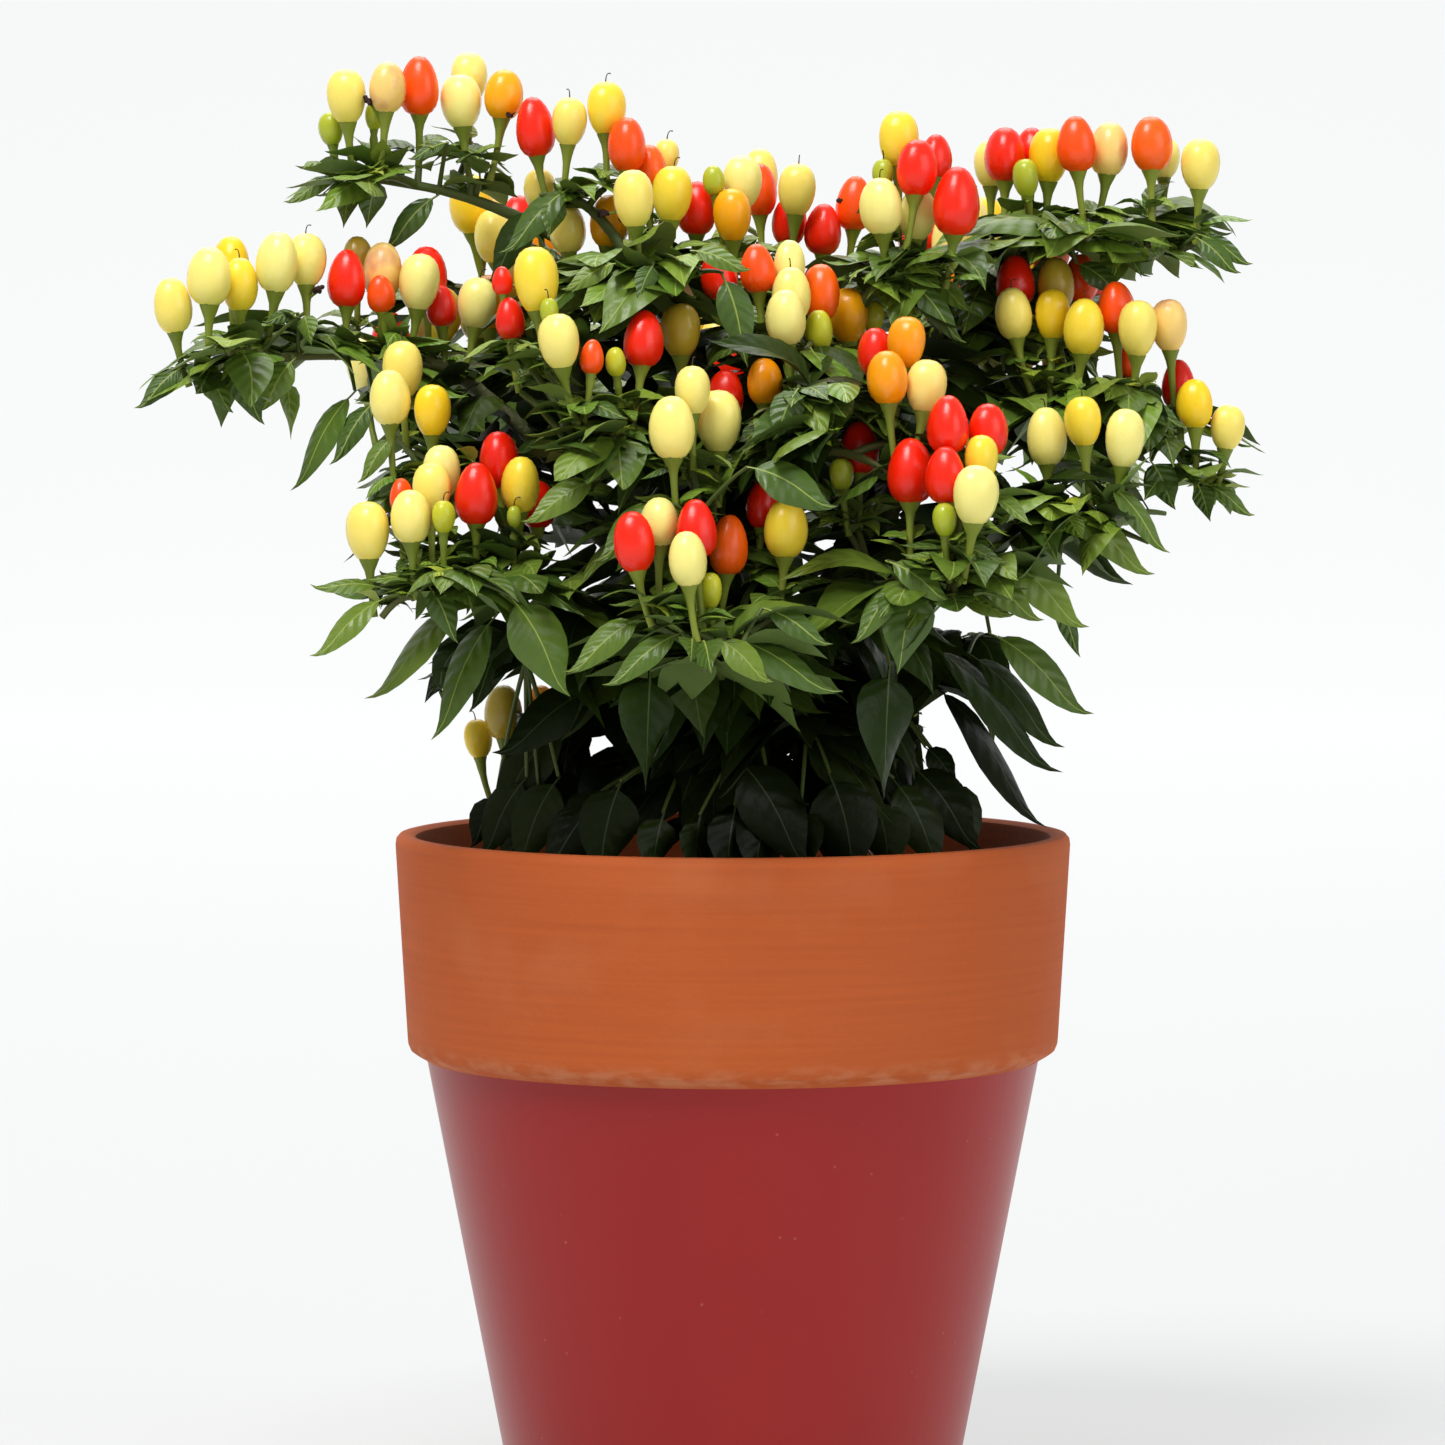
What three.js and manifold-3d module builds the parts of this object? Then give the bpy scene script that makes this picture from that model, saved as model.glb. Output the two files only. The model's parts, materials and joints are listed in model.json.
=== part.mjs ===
// An ornamental chilli pepper plant in a banded clay pot, in millimetres, +Z up.
// The origin is the centre of the pot's flat underside, and the plant is seen from -Y.
// The pot is filled with compost. One trunk stands on it and forks into boughs, and each mass of
// foliage is one stem with its twigs, leaves and upright fruits fused together.
import * as THREE from "three";
import { mergeVertices } from "three/addons/utils/BufferGeometryUtils.js";
import Module from "manifold-3d";

const wasm = await Module();
wasm.setup();

const CLEAR = 0.3; // gap between pieces that touch

// The pot: outside radii and heights, from its foot to its lip
const POT_SIDES = 30;
const POT_HEIGHT = 170;
const FOOT_RADIUS = 55;
const SHOULDER_RADIUS = 76.8;
const SHOULDER_HEIGHT = 113;
const BAND_FOOT_RADIUS = 81.9;
const BAND_FOOT_HEIGHT = 118;
const BAND_ROUND = [1.4, 2.6]; // in and up, under the band
const LIP_RADIUS = 85;
const LIP_THICKNESS = 5.6;
const LIP_ROUND = 2;
const WALL = 5.8;
const FLOOR = 8;
const DRAIN_HOLES = 3;
const DRAIN_RADIUS = 6;
const DRAIN_CIRCLE = 27;
const DRAIN_SIDES = 8;

// The compost and the trunk
const COMPOST_TOP = 152;
const TRUNK_FORK = [1, 2, 203];
const TRUNK_RADIUS = [5.2, 4.3];
const TRUNK_STRAIGHT = 24; // how far it rises before it leans
const FLARE_RADIUS = 8.5;
const FLARE_SHARE = 0.28;
const TRUNK_SIDES = 8;
const TRUNK_RINGS = 6;
const BOUGH_SIDES = 5;
const BOUGH_RINGS = 2;
const BOUGH_STEEPNESS = 0.62; // share of its rise in the first third of a bough
const MENDS = [0.1, 0.05, 0.02]; // how far a fused mass may be eased to drop slivers
const WELDS = [0.02, 0.015, 0.011, 0.008, 0.006, 0.004, 0.002]; // how close its corners may lie
const FINEST_WELD = 0.001;

// Twigs, leaves and fruits
const STEM_RADIUS = [2, 1.5];
const STEM_STEP = 24;
const TWIG_RADIUS = [1.5, 1.3];
const TWIG_SIDES = 3;
const TWIG_SHARES = [0.72, 0.42];
const TWIG_TURN = [0.75, 1.05];
const TWIG_RISE = [1, 4];
const TWIG_ARCH = 1.5;
const TWIG_LENGTH_SHARE = 0.36;
const TWIG_REACH = [12, 24];
const SHORT_STEM = 42; // a stem no longer than this has only its first twig
const LEAF_WIDTH_SHARE = 0.42;
const LEAF_WIDEST = 0.42;
const LEAF_THICKNESS_SHARE = 0.03;
const LEAF_CUP_SHARE = 0.12;
const LEAF_SINK = 0.6; // how far past its twig's axis a leaf's root is sunk
const LEAF_STALK = 0.08; // share of a leaf, from its root, that may cross its neighbours
const LEAF_TRIES = 4;
const FRUIT_SIDES = 5;
const PEDICEL = 14;
const PEDICEL_RADIUS = [0.55, 1.7];
const FRUIT_LENGTH = 15.5;
const FRUIT_WIDTH = 10.6;
const FRUIT_ROOM = 0.5;
const BUD_SCALE = 0.6;
const FRUIT_SPREAD = [4.2, 6.2]; // how far to a side a fruit leans
const TIP_FRUIT_REACH = 4;
const INNERMOST_FRUIT = 0.1;
const SETTLE_ROUNDS = 16;

// Boughs: the limb each leaves and how far along it, its far end, and its radii.
const BOUGHS = [
  { name: "bough_crown", parent: "trunk", at: 1, to: [2, 4, 262], radii: [3.4, 2.5] },
  { name: "bough_left", parent: "trunk", at: 0.92, to: [-37, -6, 248], radii: [3.4, 2.4] },
  { name: "bough_right", parent: "trunk", at: 0.8, to: [39, -4, 248], radii: [3.4, 2.4] },
  { name: "bough_back", parent: "trunk", at: 0.95, to: [-3, 38, 250], radii: [3.2, 2.3] },
  { name: "bough_front", parent: "trunk", at: 0.7, to: [3, -34, 228], radii: [3.1, 2.2] },
  { name: "bough_upper_left", parent: "bough_left", at: 1, to: [-42, 22, 318], radii: [2.3, 1.7] },
  { name: "bough_outer_left", parent: "bough_left", at: 0.92, to: [-72, -7, 287], radii: [2.3, 1.7] },
  { name: "bough_upper_right", parent: "bough_right", at: 1, to: [56, 15, 303], radii: [2.3, 1.7] },
  { name: "bough_outer_right", parent: "bough_right", at: 0.92, to: [64, -6, 271], radii: [2.2, 1.7] },
  { name: "bough_low_right", parent: "bough_right", at: 0.8, to: [58, -34, 246], radii: [2.1, 1.7] },
  { name: "bough_low_left", parent: "bough_front", at: 0.9, to: [-33, -48, 229], radii: [2.1, 1.7] },
  { name: "bough_front_low", parent: "bough_front", at: 1, to: [-3, -68, 214], radii: [2.1, 1.7] },
  { name: "bough_front_right", parent: "bough_front", at: 0.85, to: [30, -54, 229], radii: [2.1, 1.7] },
  { name: "bough_crown_left", parent: "bough_crown", at: 1, to: [-20, 0, 304], radii: [2.3, 1.7] },
  { name: "bough_crown_right", parent: "bough_crown", at: 0.92, to: [26, -6, 289], radii: [2.3, 1.7] },
  { name: "bough_crown_front", parent: "bough_crown", at: 0.84, to: [4, -38, 262], radii: [2.2, 1.7] },
  { name: "bough_back_left", parent: "bough_back", at: 1, to: [-48, 48, 280], radii: [2.3, 1.7] },
  { name: "bough_back_right", parent: "bough_back", at: 0.93, to: [48, 52, 280], radii: [2.3, 1.7] },
  { name: "bough_back_low", parent: "bough_back", at: 0.85, to: [2, 76, 254], radii: [2.2, 1.7] },
];

// Masses of foliage: the limb that each stem leaves and how far along it, the stem's tip and how
// high it arches, the spacing of its fruits and their kinds from the tip inwards, then the length
// of its leaves, how many it has and how far round they bend. Large letters are full fruits and
// small ones buds: c cream, y yellow, o amber, s scarlet, r red, b blushed, g green.
const mass = (name, limb, at, tip, arch, pitch, fruits, leaf, leaves, hang) => {
  return { name, limb, at, tip, arch, pitch, fruits, leaf, leaves, hang };
};
const MASSES = [
  mass("top_left", "bough_upper_left", 1, [-95, 15, 334], 4, 6.6, "gCgBSCCO", 28, 9, 1.1),
  mass("left", "bough_outer_left", 1, [-131, -25, 286], 4, 6.6, "CCOCCCRSC", 33, 10, 1.2),
  mass("left_middle", "bough_left", 1, [-76, -44, 262], 5, 7, "CCY", 36, 8, 1.2),
  mass("left_low", "bough_low_left", 1, [-78, -72, 233], 4, 6, "CSCYCRCRR", 33, 10, 1.2),
  mass("crown_far_left", "bough_crown_left", 1, [-42, 12, 331], 4, 5.6, "RCOSCC", 27, 7, 1),
  mass("crown_left", "bough_crown_left", 1, [-22, -42, 308], 4, 6.4, "CYSROC", 32, 9, 1),
  mass("crown_back", "bough_crown", 1, [8, 28, 308], 8, 6, "OCYCSR", 26, 6, 1),
  mass("crown_middle", "bough_crown_right", 1, [18, -36, 292], 4, 6, "RCSR", 30, 7, 1),
  mass("crown_right", "bough_crown_right", 1, [42, -16, 310], 6, 4.6, "CCRRYS", 30, 8, 1),
  mass("upper_right", "bough_upper_right", 1, [111, 10, 315], 8, 6.4, "CCSBRYgSY", 30, 9, 1.1),
  mass("right_middle", "bough_outer_right", 1, [118, -8, 257], 14, 6.6, "YCRCCSYOC", 31, 10, 1.2),
  mass("right_back", "bough_upper_right", 1, [84, 52, 284], 6, 7, "RYSC", 32, 7, 1.1),
  mass("right_low", "bough_low_right", 1, [102, -50, 245], 5, 7, "CYCCr", 34, 9, 1.2),
  mass("front_right", "bough_front_right", 1, [54, -84, 232], 6, 6, "gCRYRgRR", 35, 9, 1.2),
  mass("centre", "bough_front", 1, [-9, -80, 252], 6, 6, "CCSCR", 34, 8, 1.1),
  mass("centre_high", "bough_crown_front", 1, [17, -60, 280], 6, 6, "CgOSCY", 32, 7, 1),
  mass("centre_left", "bough_crown_front", 1, [-38, -64, 266], 6, 7, "CYsgRC", 34, 9, 1),
  mass("centre_right", "bough_crown_front", 1, [39, -66, 262], 6, 6, "OBRYo", 34, 8, 1),
  mass("front_low", "bough_front_low", 1, [-7, -100, 216], 4, 5.6, "gCSRYRYR", 40, 9, 1.1),
  mass("back_top_left", "bough_back_left", 1, [-66, 74, 304], 7, 7, "CYRC", 34, 8, 1),
  mass("back_left", "bough_back_left", 1, [-92, 56, 266], 6, 7, "CRCY", 35, 8, 1.2),
  mass("back_top_right", "bough_back_right", 1, [58, 86, 302], 7, 7, "YSCR", 34, 8, 1),
  mass("back_right", "bough_back_right", 1, [94, 64, 254], 7, 7, "CRYC", 35, 8, 1.2),
  mass("back_middle", "bough_back_low", 1, [-20, 112, 278], 8, 7, "CSYR", 36, 8, 1.1),
  mass("back_low", "bough_back_low", 1, [31, 106, 236], 9, 7, "YCRC", 38, 8, 1.2),
  mass("skirt_left", "trunk", 0.8, [-58, -24, 218], 4, 9, "", 48, 8, 1.7),
  mass("skirt_right", "trunk", 0.66, [62, -20, 221], 4, 9, "", 52, 8, 1.7),
  mass("skirt_front", "trunk", 0.5, [6, -48, 200], 5, 9, "", 42, 7, 1.5),
  mass("skirt_back_left", "trunk", 0.6, [-54, 38, 196], 5, 9, "YRO", 44, 7, 1.5),
  mass("skirt_back_right", "trunk", 0.55, [44, 46, 202], 5, 9, "", 46, 7, 1.6),
];

const clay = new THREE.MeshStandardMaterial({ color: 0xb95c32, roughness: 0.85 });
const compost = new THREE.MeshStandardMaterial({ color: 0x2a1d14, roughness: 1 });
const bark = new THREE.MeshStandardMaterial({ color: 0x5c6138, roughness: 0.8 });
const foliage = new THREE.MeshStandardMaterial({ color: 0x2f5a28, roughness: 0.5 });

const vector = (point) => new THREE.Vector3(...point);
const UP = new THREE.Vector3(0, 0, 1);

// A repeatable stream of numbers between 0 and 1.
function randomStream(seed) {
  let state = seed >>> 0;
  return () => {
    state = (Math.imul(state, 1664525) + 1013904223) >>> 0;
    return state / 4294967296;
  };
}

// Turns a closed geometry into a solid that can be joined and cut.
function solidOf(geometry) {
  const bare = new THREE.BufferGeometry();
  bare.setAttribute("position", geometry.getAttribute("position"));
  bare.setIndex(geometry.index);
  const merged = withoutFlatFaces(mergeVertices(bare, 1e-4));
  return new wasm.Manifold(
    new wasm.Mesh({
      numProp: 3,
      vertProperties: new Float32Array(merged.getAttribute("position").array),
      triVerts: new Uint32Array(merged.index.array),
    }),
  );
}

// Joins solids into one closed body. Where their faces meet too finely to be closed, the last
// solid is left out.
function joined(solids) {
  let round = solids;
  while (round.length > 1) {
    const next = [];
    for (let i = 0; i < round.length; i += 2) {
      next.push(i + 1 < round.length ? round[i].add(round[i + 1]) : round[i]);
    }
    round = next;
  }
  return tidied(round[0]) ?? joined(solids.slice(0, -1));
}

// Eases slivers away, keeps the largest body and merges corners that lie very close, or returns
// null if the solid isn't closed after that.
function tidied(solid) {
  const united = solid.asOriginal();
  for (const mend of MENDS) {
    const eased = geometryOf(largestBody(united.simplify(mend)));
    for (const weld of WELDS) {
      const merged = mergeVertices(eased, weld);
      const kept = withoutFlatFaces(merged);
      if (!isClosed(kept)) continue;
      const body = largestBody(solidOf(kept));
      if (isClosed(mergeVertices(geometryOf(body), FINEST_WELD))) return body;
    }
  }
  return null;
}

// Drops the faces that have lost a corner.
function withoutFlatFaces(geometry) {
  const corners = [];
  for (let i = 0; i < geometry.index.count; i += 3) {
    const [a, b, c] = [0, 1, 2].map((k) => geometry.index.getX(i + k));
    if (a !== b && b !== c && c !== a) corners.push(a, b, c);
  }
  return geometry.setIndex(corners);
}

function largestBody(solid) {
  return solid.decompose().reduce((best, body) => (body.volume() > best.volume() ? body : best));
}

// Whether every edge of a merged geometry has exactly two faces.
function isClosed({ index }) {
  const faces = new Map();
  for (let i = 0; i < index.count; i += 3) {
    for (let k = 0; k < 3; k++) {
      const [a, b] = [index.getX(i + k), index.getX(i + ((k + 1) % 3))];
      const edge = Math.min(a, b) + "," + Math.max(a, b);
      faces.set(edge, (faces.get(edge) ?? 0) + 1);
    }
  }
  return [...faces.values()].every((count) => count === 2);
}

function geometryOf(solid) {
  const { numProp, vertProperties, triVerts } = solid.getMesh();
  const corners = new Float32Array(triVerts.length * 3);
  triVerts.forEach((vertex, corner) => {
    corners.set(vertProperties.subarray(vertex * numProp, vertex * numProp + 3), corner * 3);
  });
  const geometry = new THREE.BufferGeometry();
  geometry.setAttribute("position", new THREE.BufferAttribute(corners, 3));
  return mergeVertices(geometry, 1e-6);
}

function meshOf(name, solid, material) {
  const geometry = geometryOf(solid).toNonIndexed();
  geometry.computeVertexNormals();
  const mesh = new THREE.Mesh(geometry, material);
  mesh.name = name;
  return mesh;
}

// Moves a geometry's vertices by a function of each one.
function reshape(geometry, move) {
  const position = geometry.getAttribute("position");
  for (let i = 0; i < position.count; i++) {
    const moved = move(new THREE.Vector3().fromBufferAttribute(position, i));
    position.setXYZ(i, moved.x, moved.y, moved.z);
  }
  return geometry;
}

// A lathe turns about Y, so its profile of [radius, height] is laid over to +Z.
function turned(profile, sides) {
  const points = profile.map(([radius, height]) => new THREE.Vector2(radius, height));
  return new THREE.LatheGeometry(points, sides).rotateX(Math.PI / 2);
}

function bodyRadius(height) {
  return FOOT_RADIUS + ((SHOULDER_RADIUS - FOOT_RADIUS) * height) / SHOULDER_HEIGHT;
}

function insideRadius(height) {
  const atShoulder = bodyRadius(SHOULDER_HEIGHT) - WALL;
  if (height <= SHOULDER_HEIGHT) return bodyRadius(height) - WALL;
  const rise = (height - SHOULDER_HEIGHT) / (POT_HEIGHT - SHOULDER_HEIGHT);
  return atShoulder + (LIP_RADIUS - LIP_THICKNESS - atShoulder) * rise;
}

function potSolid() {
  const inner = insideRadius(POT_HEIGHT);
  const profile = [
    [0, 0],
    [FOOT_RADIUS, 0],
    [SHOULDER_RADIUS, SHOULDER_HEIGHT],
    [BAND_FOOT_RADIUS - BAND_ROUND[0], BAND_FOOT_HEIGHT - BAND_ROUND[1]],
    [BAND_FOOT_RADIUS, BAND_FOOT_HEIGHT],
    [LIP_RADIUS, POT_HEIGHT - LIP_ROUND],
    [LIP_RADIUS - LIP_ROUND, POT_HEIGHT],
    [inner + LIP_ROUND / 2, POT_HEIGHT],
    [inner, POT_HEIGHT - LIP_ROUND],
    [insideRadius(SHOULDER_HEIGHT), SHOULDER_HEIGHT],
    [insideRadius(FLOOR), FLOOR],
    [0, FLOOR],
  ];
  let pot = solidOf(turned(profile, POT_SIDES));
  for (let i = 0; i < DRAIN_HOLES; i++) {
    const turn = (i / DRAIN_HOLES) * 2 * Math.PI + Math.PI / 2;
    const hole = new THREE.CylinderGeometry(DRAIN_RADIUS, DRAIN_RADIUS, 3 * FLOOR, DRAIN_SIDES)
      .rotateX(Math.PI / 2)
      .translate(DRAIN_CIRCLE * Math.cos(turn), DRAIN_CIRCLE * Math.sin(turn), 0);
    pot = pot.subtract(solidOf(hole));
  }
  return pot;
}

// The compost follows the pot's inside, a small gap away.
function compostSolid() {
  const radius = (height) => insideRadius(height) - CLEAR - 0.1;
  const bottom = FLOOR + CLEAR;
  const profile = [
    [0, bottom],
    [radius(bottom), bottom],
    [radius(SHOULDER_HEIGHT), SHOULDER_HEIGHT],
    [radius(COMPOST_TOP), COMPOST_TOP],
    [0, COMPOST_TOP],
  ];
  return solidOf(turned(profile, POT_SIDES));
}

// A limb: its curve, and its radius at a share of its length, with rings of corners round it.
// grow makes it fatter and longer, for cutting a gap round it.
function limbSolid(curve, radiusAt, sides, rings, grow = 0) {
  const [start, middle, end] = [curve.getPoint(0), curve.getPoint(0.5), curve.getPoint(1)];
  const across = middle.sub(start).cross(end.sub(start));
  if (across.length() < 1) across.set(end.y, -end.x, 0).add(new THREE.Vector3(0.1, 0.2, 0));
  across.normalize();
  const tube = reshape(new THREE.CylinderGeometry(1, 1, 1, sides, rings), (corner) => {
    const share = THREE.MathUtils.clamp(corner.y + 0.5, 0, 1);
    const along = curve.getTangent(share);
    const side = across.clone().addScaledVector(along, -across.dot(along)).normalize();
    const over = new THREE.Vector3().crossVectors(side, along);
    const radius = radiusAt(share) + grow;
    const beyond = share < 1e-6 ? -grow : share > 1 - 1e-6 ? grow : 0;
    return curve
      .getPoint(share)
      .addScaledVector(side, corner.x * radius)
      .addScaledVector(over, corner.z * radius)
      .addScaledVector(along, beyond);
  });
  const solid = solidOf(tube);
  if (solid.volume() < 0) throw new Error("a limb is inside out");
  return solid;
}

const tapered = ([thick, thin]) => (share) => thick + (thin - thick) * share;

// An arc from one point to another that leaves steeply, as a limb does at a fork.
function risingCurve(start, end) {
  const bend = start.clone().lerp(end, 1 / 3);
  bend.z = start.z + (end.z - start.z) * BOUGH_STEEPNESS;
  return new THREE.QuadraticBezierCurve3(start, bend, end);
}

// An arc that bows upwards by a height, as a laden shoot does.
function bowedCurve(start, end, arch) {
  const bend = start.clone().lerp(end, 0.5).addScaledVector(UP, 2 * arch);
  return new THREE.QuadraticBezierCurve3(start, bend, end);
}

// Every limb in order, with the solid that its neighbours are cut by.
function growLimbs() {
  const foot = new THREE.Vector3(0, 0, COMPOST_TOP + CLEAR);
  const limbs = new Map();
  const trunkRadius = (share) => {
    const flare = Math.max(0, 1 - share / FLARE_SHARE);
    return tapered(TRUNK_RADIUS)(share) + (FLARE_RADIUS - TRUNK_RADIUS[0]) * flare * flare;
  };
  const trunkCurve = new THREE.QuadraticBezierCurve3(
    foot,
    foot.clone().addScaledVector(UP, TRUNK_STRAIGHT),
    vector(TRUNK_FORK),
  );
  addLimb("trunk", trunkCurve, trunkRadius, TRUNK_SIDES, TRUNK_RINGS);
  for (const { name, parent, at, to, radii } of BOUGHS) {
    const start = limbs.get(parent).curve.getPoint(at);
    addLimb(name, risingCurve(start, vector(to)), tapered(radii), BOUGH_SIDES, BOUGH_RINGS);
  }
  return limbs;

  function addLimb(name, curve, radiusAt, sides, rings) {
    let solid = limbSolid(curve, radiusAt, sides, rings);
    for (const other of limbs.values()) solid = solid.subtract(other.grown);
    const grown = limbSolid(curve, radiusAt, sides, rings, CLEAR);
    solid = largestBody(solid);
    limbs.set(name, { name, curve, solid, grown, box: solid.boundingBox() });
  }
}

// Where a mass's stem, twigs, fruits and leaves go, by its own stream of numbers.
function planMass(mass, index, limbs) {
  const random = randomStream(7919 * (index + 1));
  const between = (low, high) => low + (high - low) * random();
  const start = limbs.get(mass.limb).curve.getPoint(mass.at);
  const stem = bowedCurve(start, vector(mass.tip), mass.arch);
  const length = stem.getLength();
  const heading = vector(mass.tip).sub(start).setZ(0).normalize();
  const aside = new THREE.Vector3(-heading.y, heading.x, 0);

  const shares = length > SHORT_STEM ? TWIG_SHARES : TWIG_SHARES.slice(0, 1);
  const twigs = shares.map((share, i) => {
    const foot = stem.getPoint(share);
    const turn = (i % 2 ? -1 : 1) * between(...TWIG_TURN);
    const reach = THREE.MathUtils.clamp(length * TWIG_LENGTH_SHARE, ...TWIG_REACH) * between(0.85, 1.1);
    const way = heading.clone().applyAxisAngle(UP, turn);
    const end = foot.clone().addScaledVector(way, reach).addScaledVector(UP, between(...TWIG_RISE));
    return { curve: bowedCurve(foot, end, TWIG_ARCH), way };
  });

  const fruits = [...mass.fruits].map((kind, i) => {
    const share = Math.max(INNERMOST_FRUIT, 1 - (i * mass.pitch) / length);
    const foot = stem.getPoint(share);
    const bud = kind === kind.toLowerCase();
    const scale = (bud ? BUD_SCALE : 1) * between(0.9, 1.1);
    const lean = aside
      .clone()
      .multiplyScalar((i % 2 ? 1 : -1) * between(...FRUIT_SPREAD))
      .addScaledVector(heading, between(-1, 2) + (i === 0 ? TIP_FRUIT_REACH : 0));
    const rise = PEDICEL * (bud ? 0.9 : 1) * between(0.85, 1.15) + (FRUIT_LENGTH * scale) / 2;
    const centre = foot.clone().add(lean).addScaledVector(UP, rise);
    return { kind, bud, scale, foot, centre };
  });

  const leaves = [];
  const addLeaf = (curve, share, way, turn, size) => {
    const outward = way.clone().applyAxisAngle(UP, turn + between(-0.2, 0.2));
    const lift = between(-0.25, 0.35);
    const droop = mass.hang + between(-0.3, 0.3);
    const roll = between(-0.35, 0.35);
    leaves.push({ root: curve.getPoint(share), way: outward, length: size, lift, droop, roll });
  };
  for (let round = 0; round < LEAF_TRIES; round++) {
    const inward = 0.24 * round;
    const tilt = 0.5 * (round % 2);
    const size = (share) => mass.leaf * share * between(0.88, 1.12);
    addLeaf(stem, 1 - inward * 0.5, heading, 0.15 - tilt, size(0.66));
    addLeaf(stem, 0.97 - inward * 0.5, heading, 1.1 + tilt, size(0.85));
    addLeaf(stem, 0.94 - inward * 0.5, heading, -1.1 - tilt, size(0.85));
    for (const { curve, way } of twigs) {
      addLeaf(curve, 1 - inward * 0.8, way, 0.55 + tilt, size(0.95));
      addLeaf(curve, 0.92 - inward * 0.8, way, -0.7 - tilt, size(0.95));
    }
    addLeaf(stem, 0.6 - inward * 0.5, heading, 1.9 - tilt, size(1.1));
    addLeaf(stem, 0.5 - inward * 0.5, heading, -1.9 + tilt, size(1.1));
  }
  return { mass, stem, length, twigs, fruits, leaves };
}

// Pushes fruits that would meet apart, sideways, a little at a time.
function settleFruits(fruits) {
  for (let round = 0; round < SETTLE_ROUNDS; round++) {
    for (let i = 0; i < fruits.length; i++) {
      for (let j = i + 1; j < fruits.length; j++) {
        const [a, b] = [fruits[i], fruits[j]];
        const apart = b.centre.clone().sub(a.centre);
        const room = ((a.scale + b.scale) * FRUIT_WIDTH) / 2 + FRUIT_ROOM;
        apart.z *= FRUIT_WIDTH / FRUIT_LENGTH;
        const gap = room - apart.length();
        if (gap <= 0) continue;
        const push = new THREE.Vector3(apart.x, apart.y, 0);
        if (push.length() < 0.1) push.set(1, 0, 0);
        push.setLength(gap * 0.55);
        b.centre.add(push);
        a.centre.sub(push);
      }
    }
  }
}

// A stalk that widens to its cap, with the pod above it, turned to point from its foot to its centre.
// grow makes it fatter, for testing what comes near it.
function fruitSolid({ scale, foot, centre }, grow = 0) {
  const half = (FRUIT_LENGTH * scale) / 2;
  const radius = (FRUIT_WIDTH * scale) / 2 + grow;
  const axis = centre.clone().sub(foot);
  const stalk = axis.length() - half;
  const profile = [
    [0, 0],
    [PEDICEL_RADIUS[0] + grow, 0],
    [PEDICEL_RADIUS[1] + grow, stalk + half * 0.05],
    [radius * 0.95, stalk + half * 0.62],
    [radius * 0.9, stalk + half * 1.35],
    [0, stalk + half * 2 + grow],
  ];
  const turn = new THREE.Quaternion().setFromUnitVectors(UP, axis.clone().normalize());
  const shape = turned(profile, FRUIT_SIDES).applyQuaternion(turn);
  return solidOf(shape.translate(foot.x, foot.y, foot.z));
}

// The point a share of the way along a leaf that leaves at one slope and bends down to another.
function leafPoint({ root, way, length, lift, droop }, share) {
  const bend = lift + droop;
  const slope = lift - bend * share;
  const forward = ((Math.sin(lift) - Math.sin(slope)) / bend) * length;
  const rise = ((Math.cos(slope) - Math.cos(lift)) / bend) * length;
  return root.clone().addScaledVector(way, forward).addScaledVector(UP, rise);
}

// A leaf of eight faces: root, tip, two edges, and the top and underside of its rib.
// from is the share of its length that it starts at, and grow makes it fatter, for testing.
function leafSolid(leaf, from = 0, grow = 0) {
  const { way, length, lift, droop, roll } = leaf;
  const slope = lift - (lift + droop) * LEAF_WIDEST;
  const along = way.clone().multiplyScalar(Math.cos(slope)).addScaledVector(UP, Math.sin(slope));
  const across = new THREE.Vector3().crossVectors(along, UP).normalize().applyAxisAngle(along, roll);
  const face = new THREE.Vector3().crossVectors(across, along);
  const middle = leafPoint(leaf, LEAF_WIDEST);
  const tip = leafPoint(leaf, 1);
  const rootEnd = leafPoint(leaf, from);
  if (from === 0) rootEnd.addScaledVector(way, -LEAF_SINK);
  const shape = reshape(new THREE.OctahedronGeometry(1, 0), (corner) => {
    if (corner.y < -0.5) return rootEnd;
    if (corner.y > 0.5) return tip;
    return middle
      .clone()
      .addScaledVector(across, corner.x * ((length * LEAF_WIDTH_SHARE) / 2 + grow))
      .addScaledVector(face, corner.z * ((length * LEAF_THICKNESS_SHARE) / 2 + grow))
      .addScaledVector(face, -Math.abs(corner.x) * length * LEAF_CUP_SHARE);
  });
  const solid = solidOf(shape);
  return solid.volume() > 0 ? solid : null;
}

function boxesMeet(a, b) {
  return [0, 1, 2].every((k) => a.min[k] < b.max[k] && b.min[k] < a.max[k]);
}

// Whether a solid touches one of the pieces.
function touches(solid, pieces) {
  const box = solid.boundingBox();
  return pieces.some((piece) => boxesMeet(box, piece.box) && !solid.intersect(piece.solid).isEmpty());
}

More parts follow.
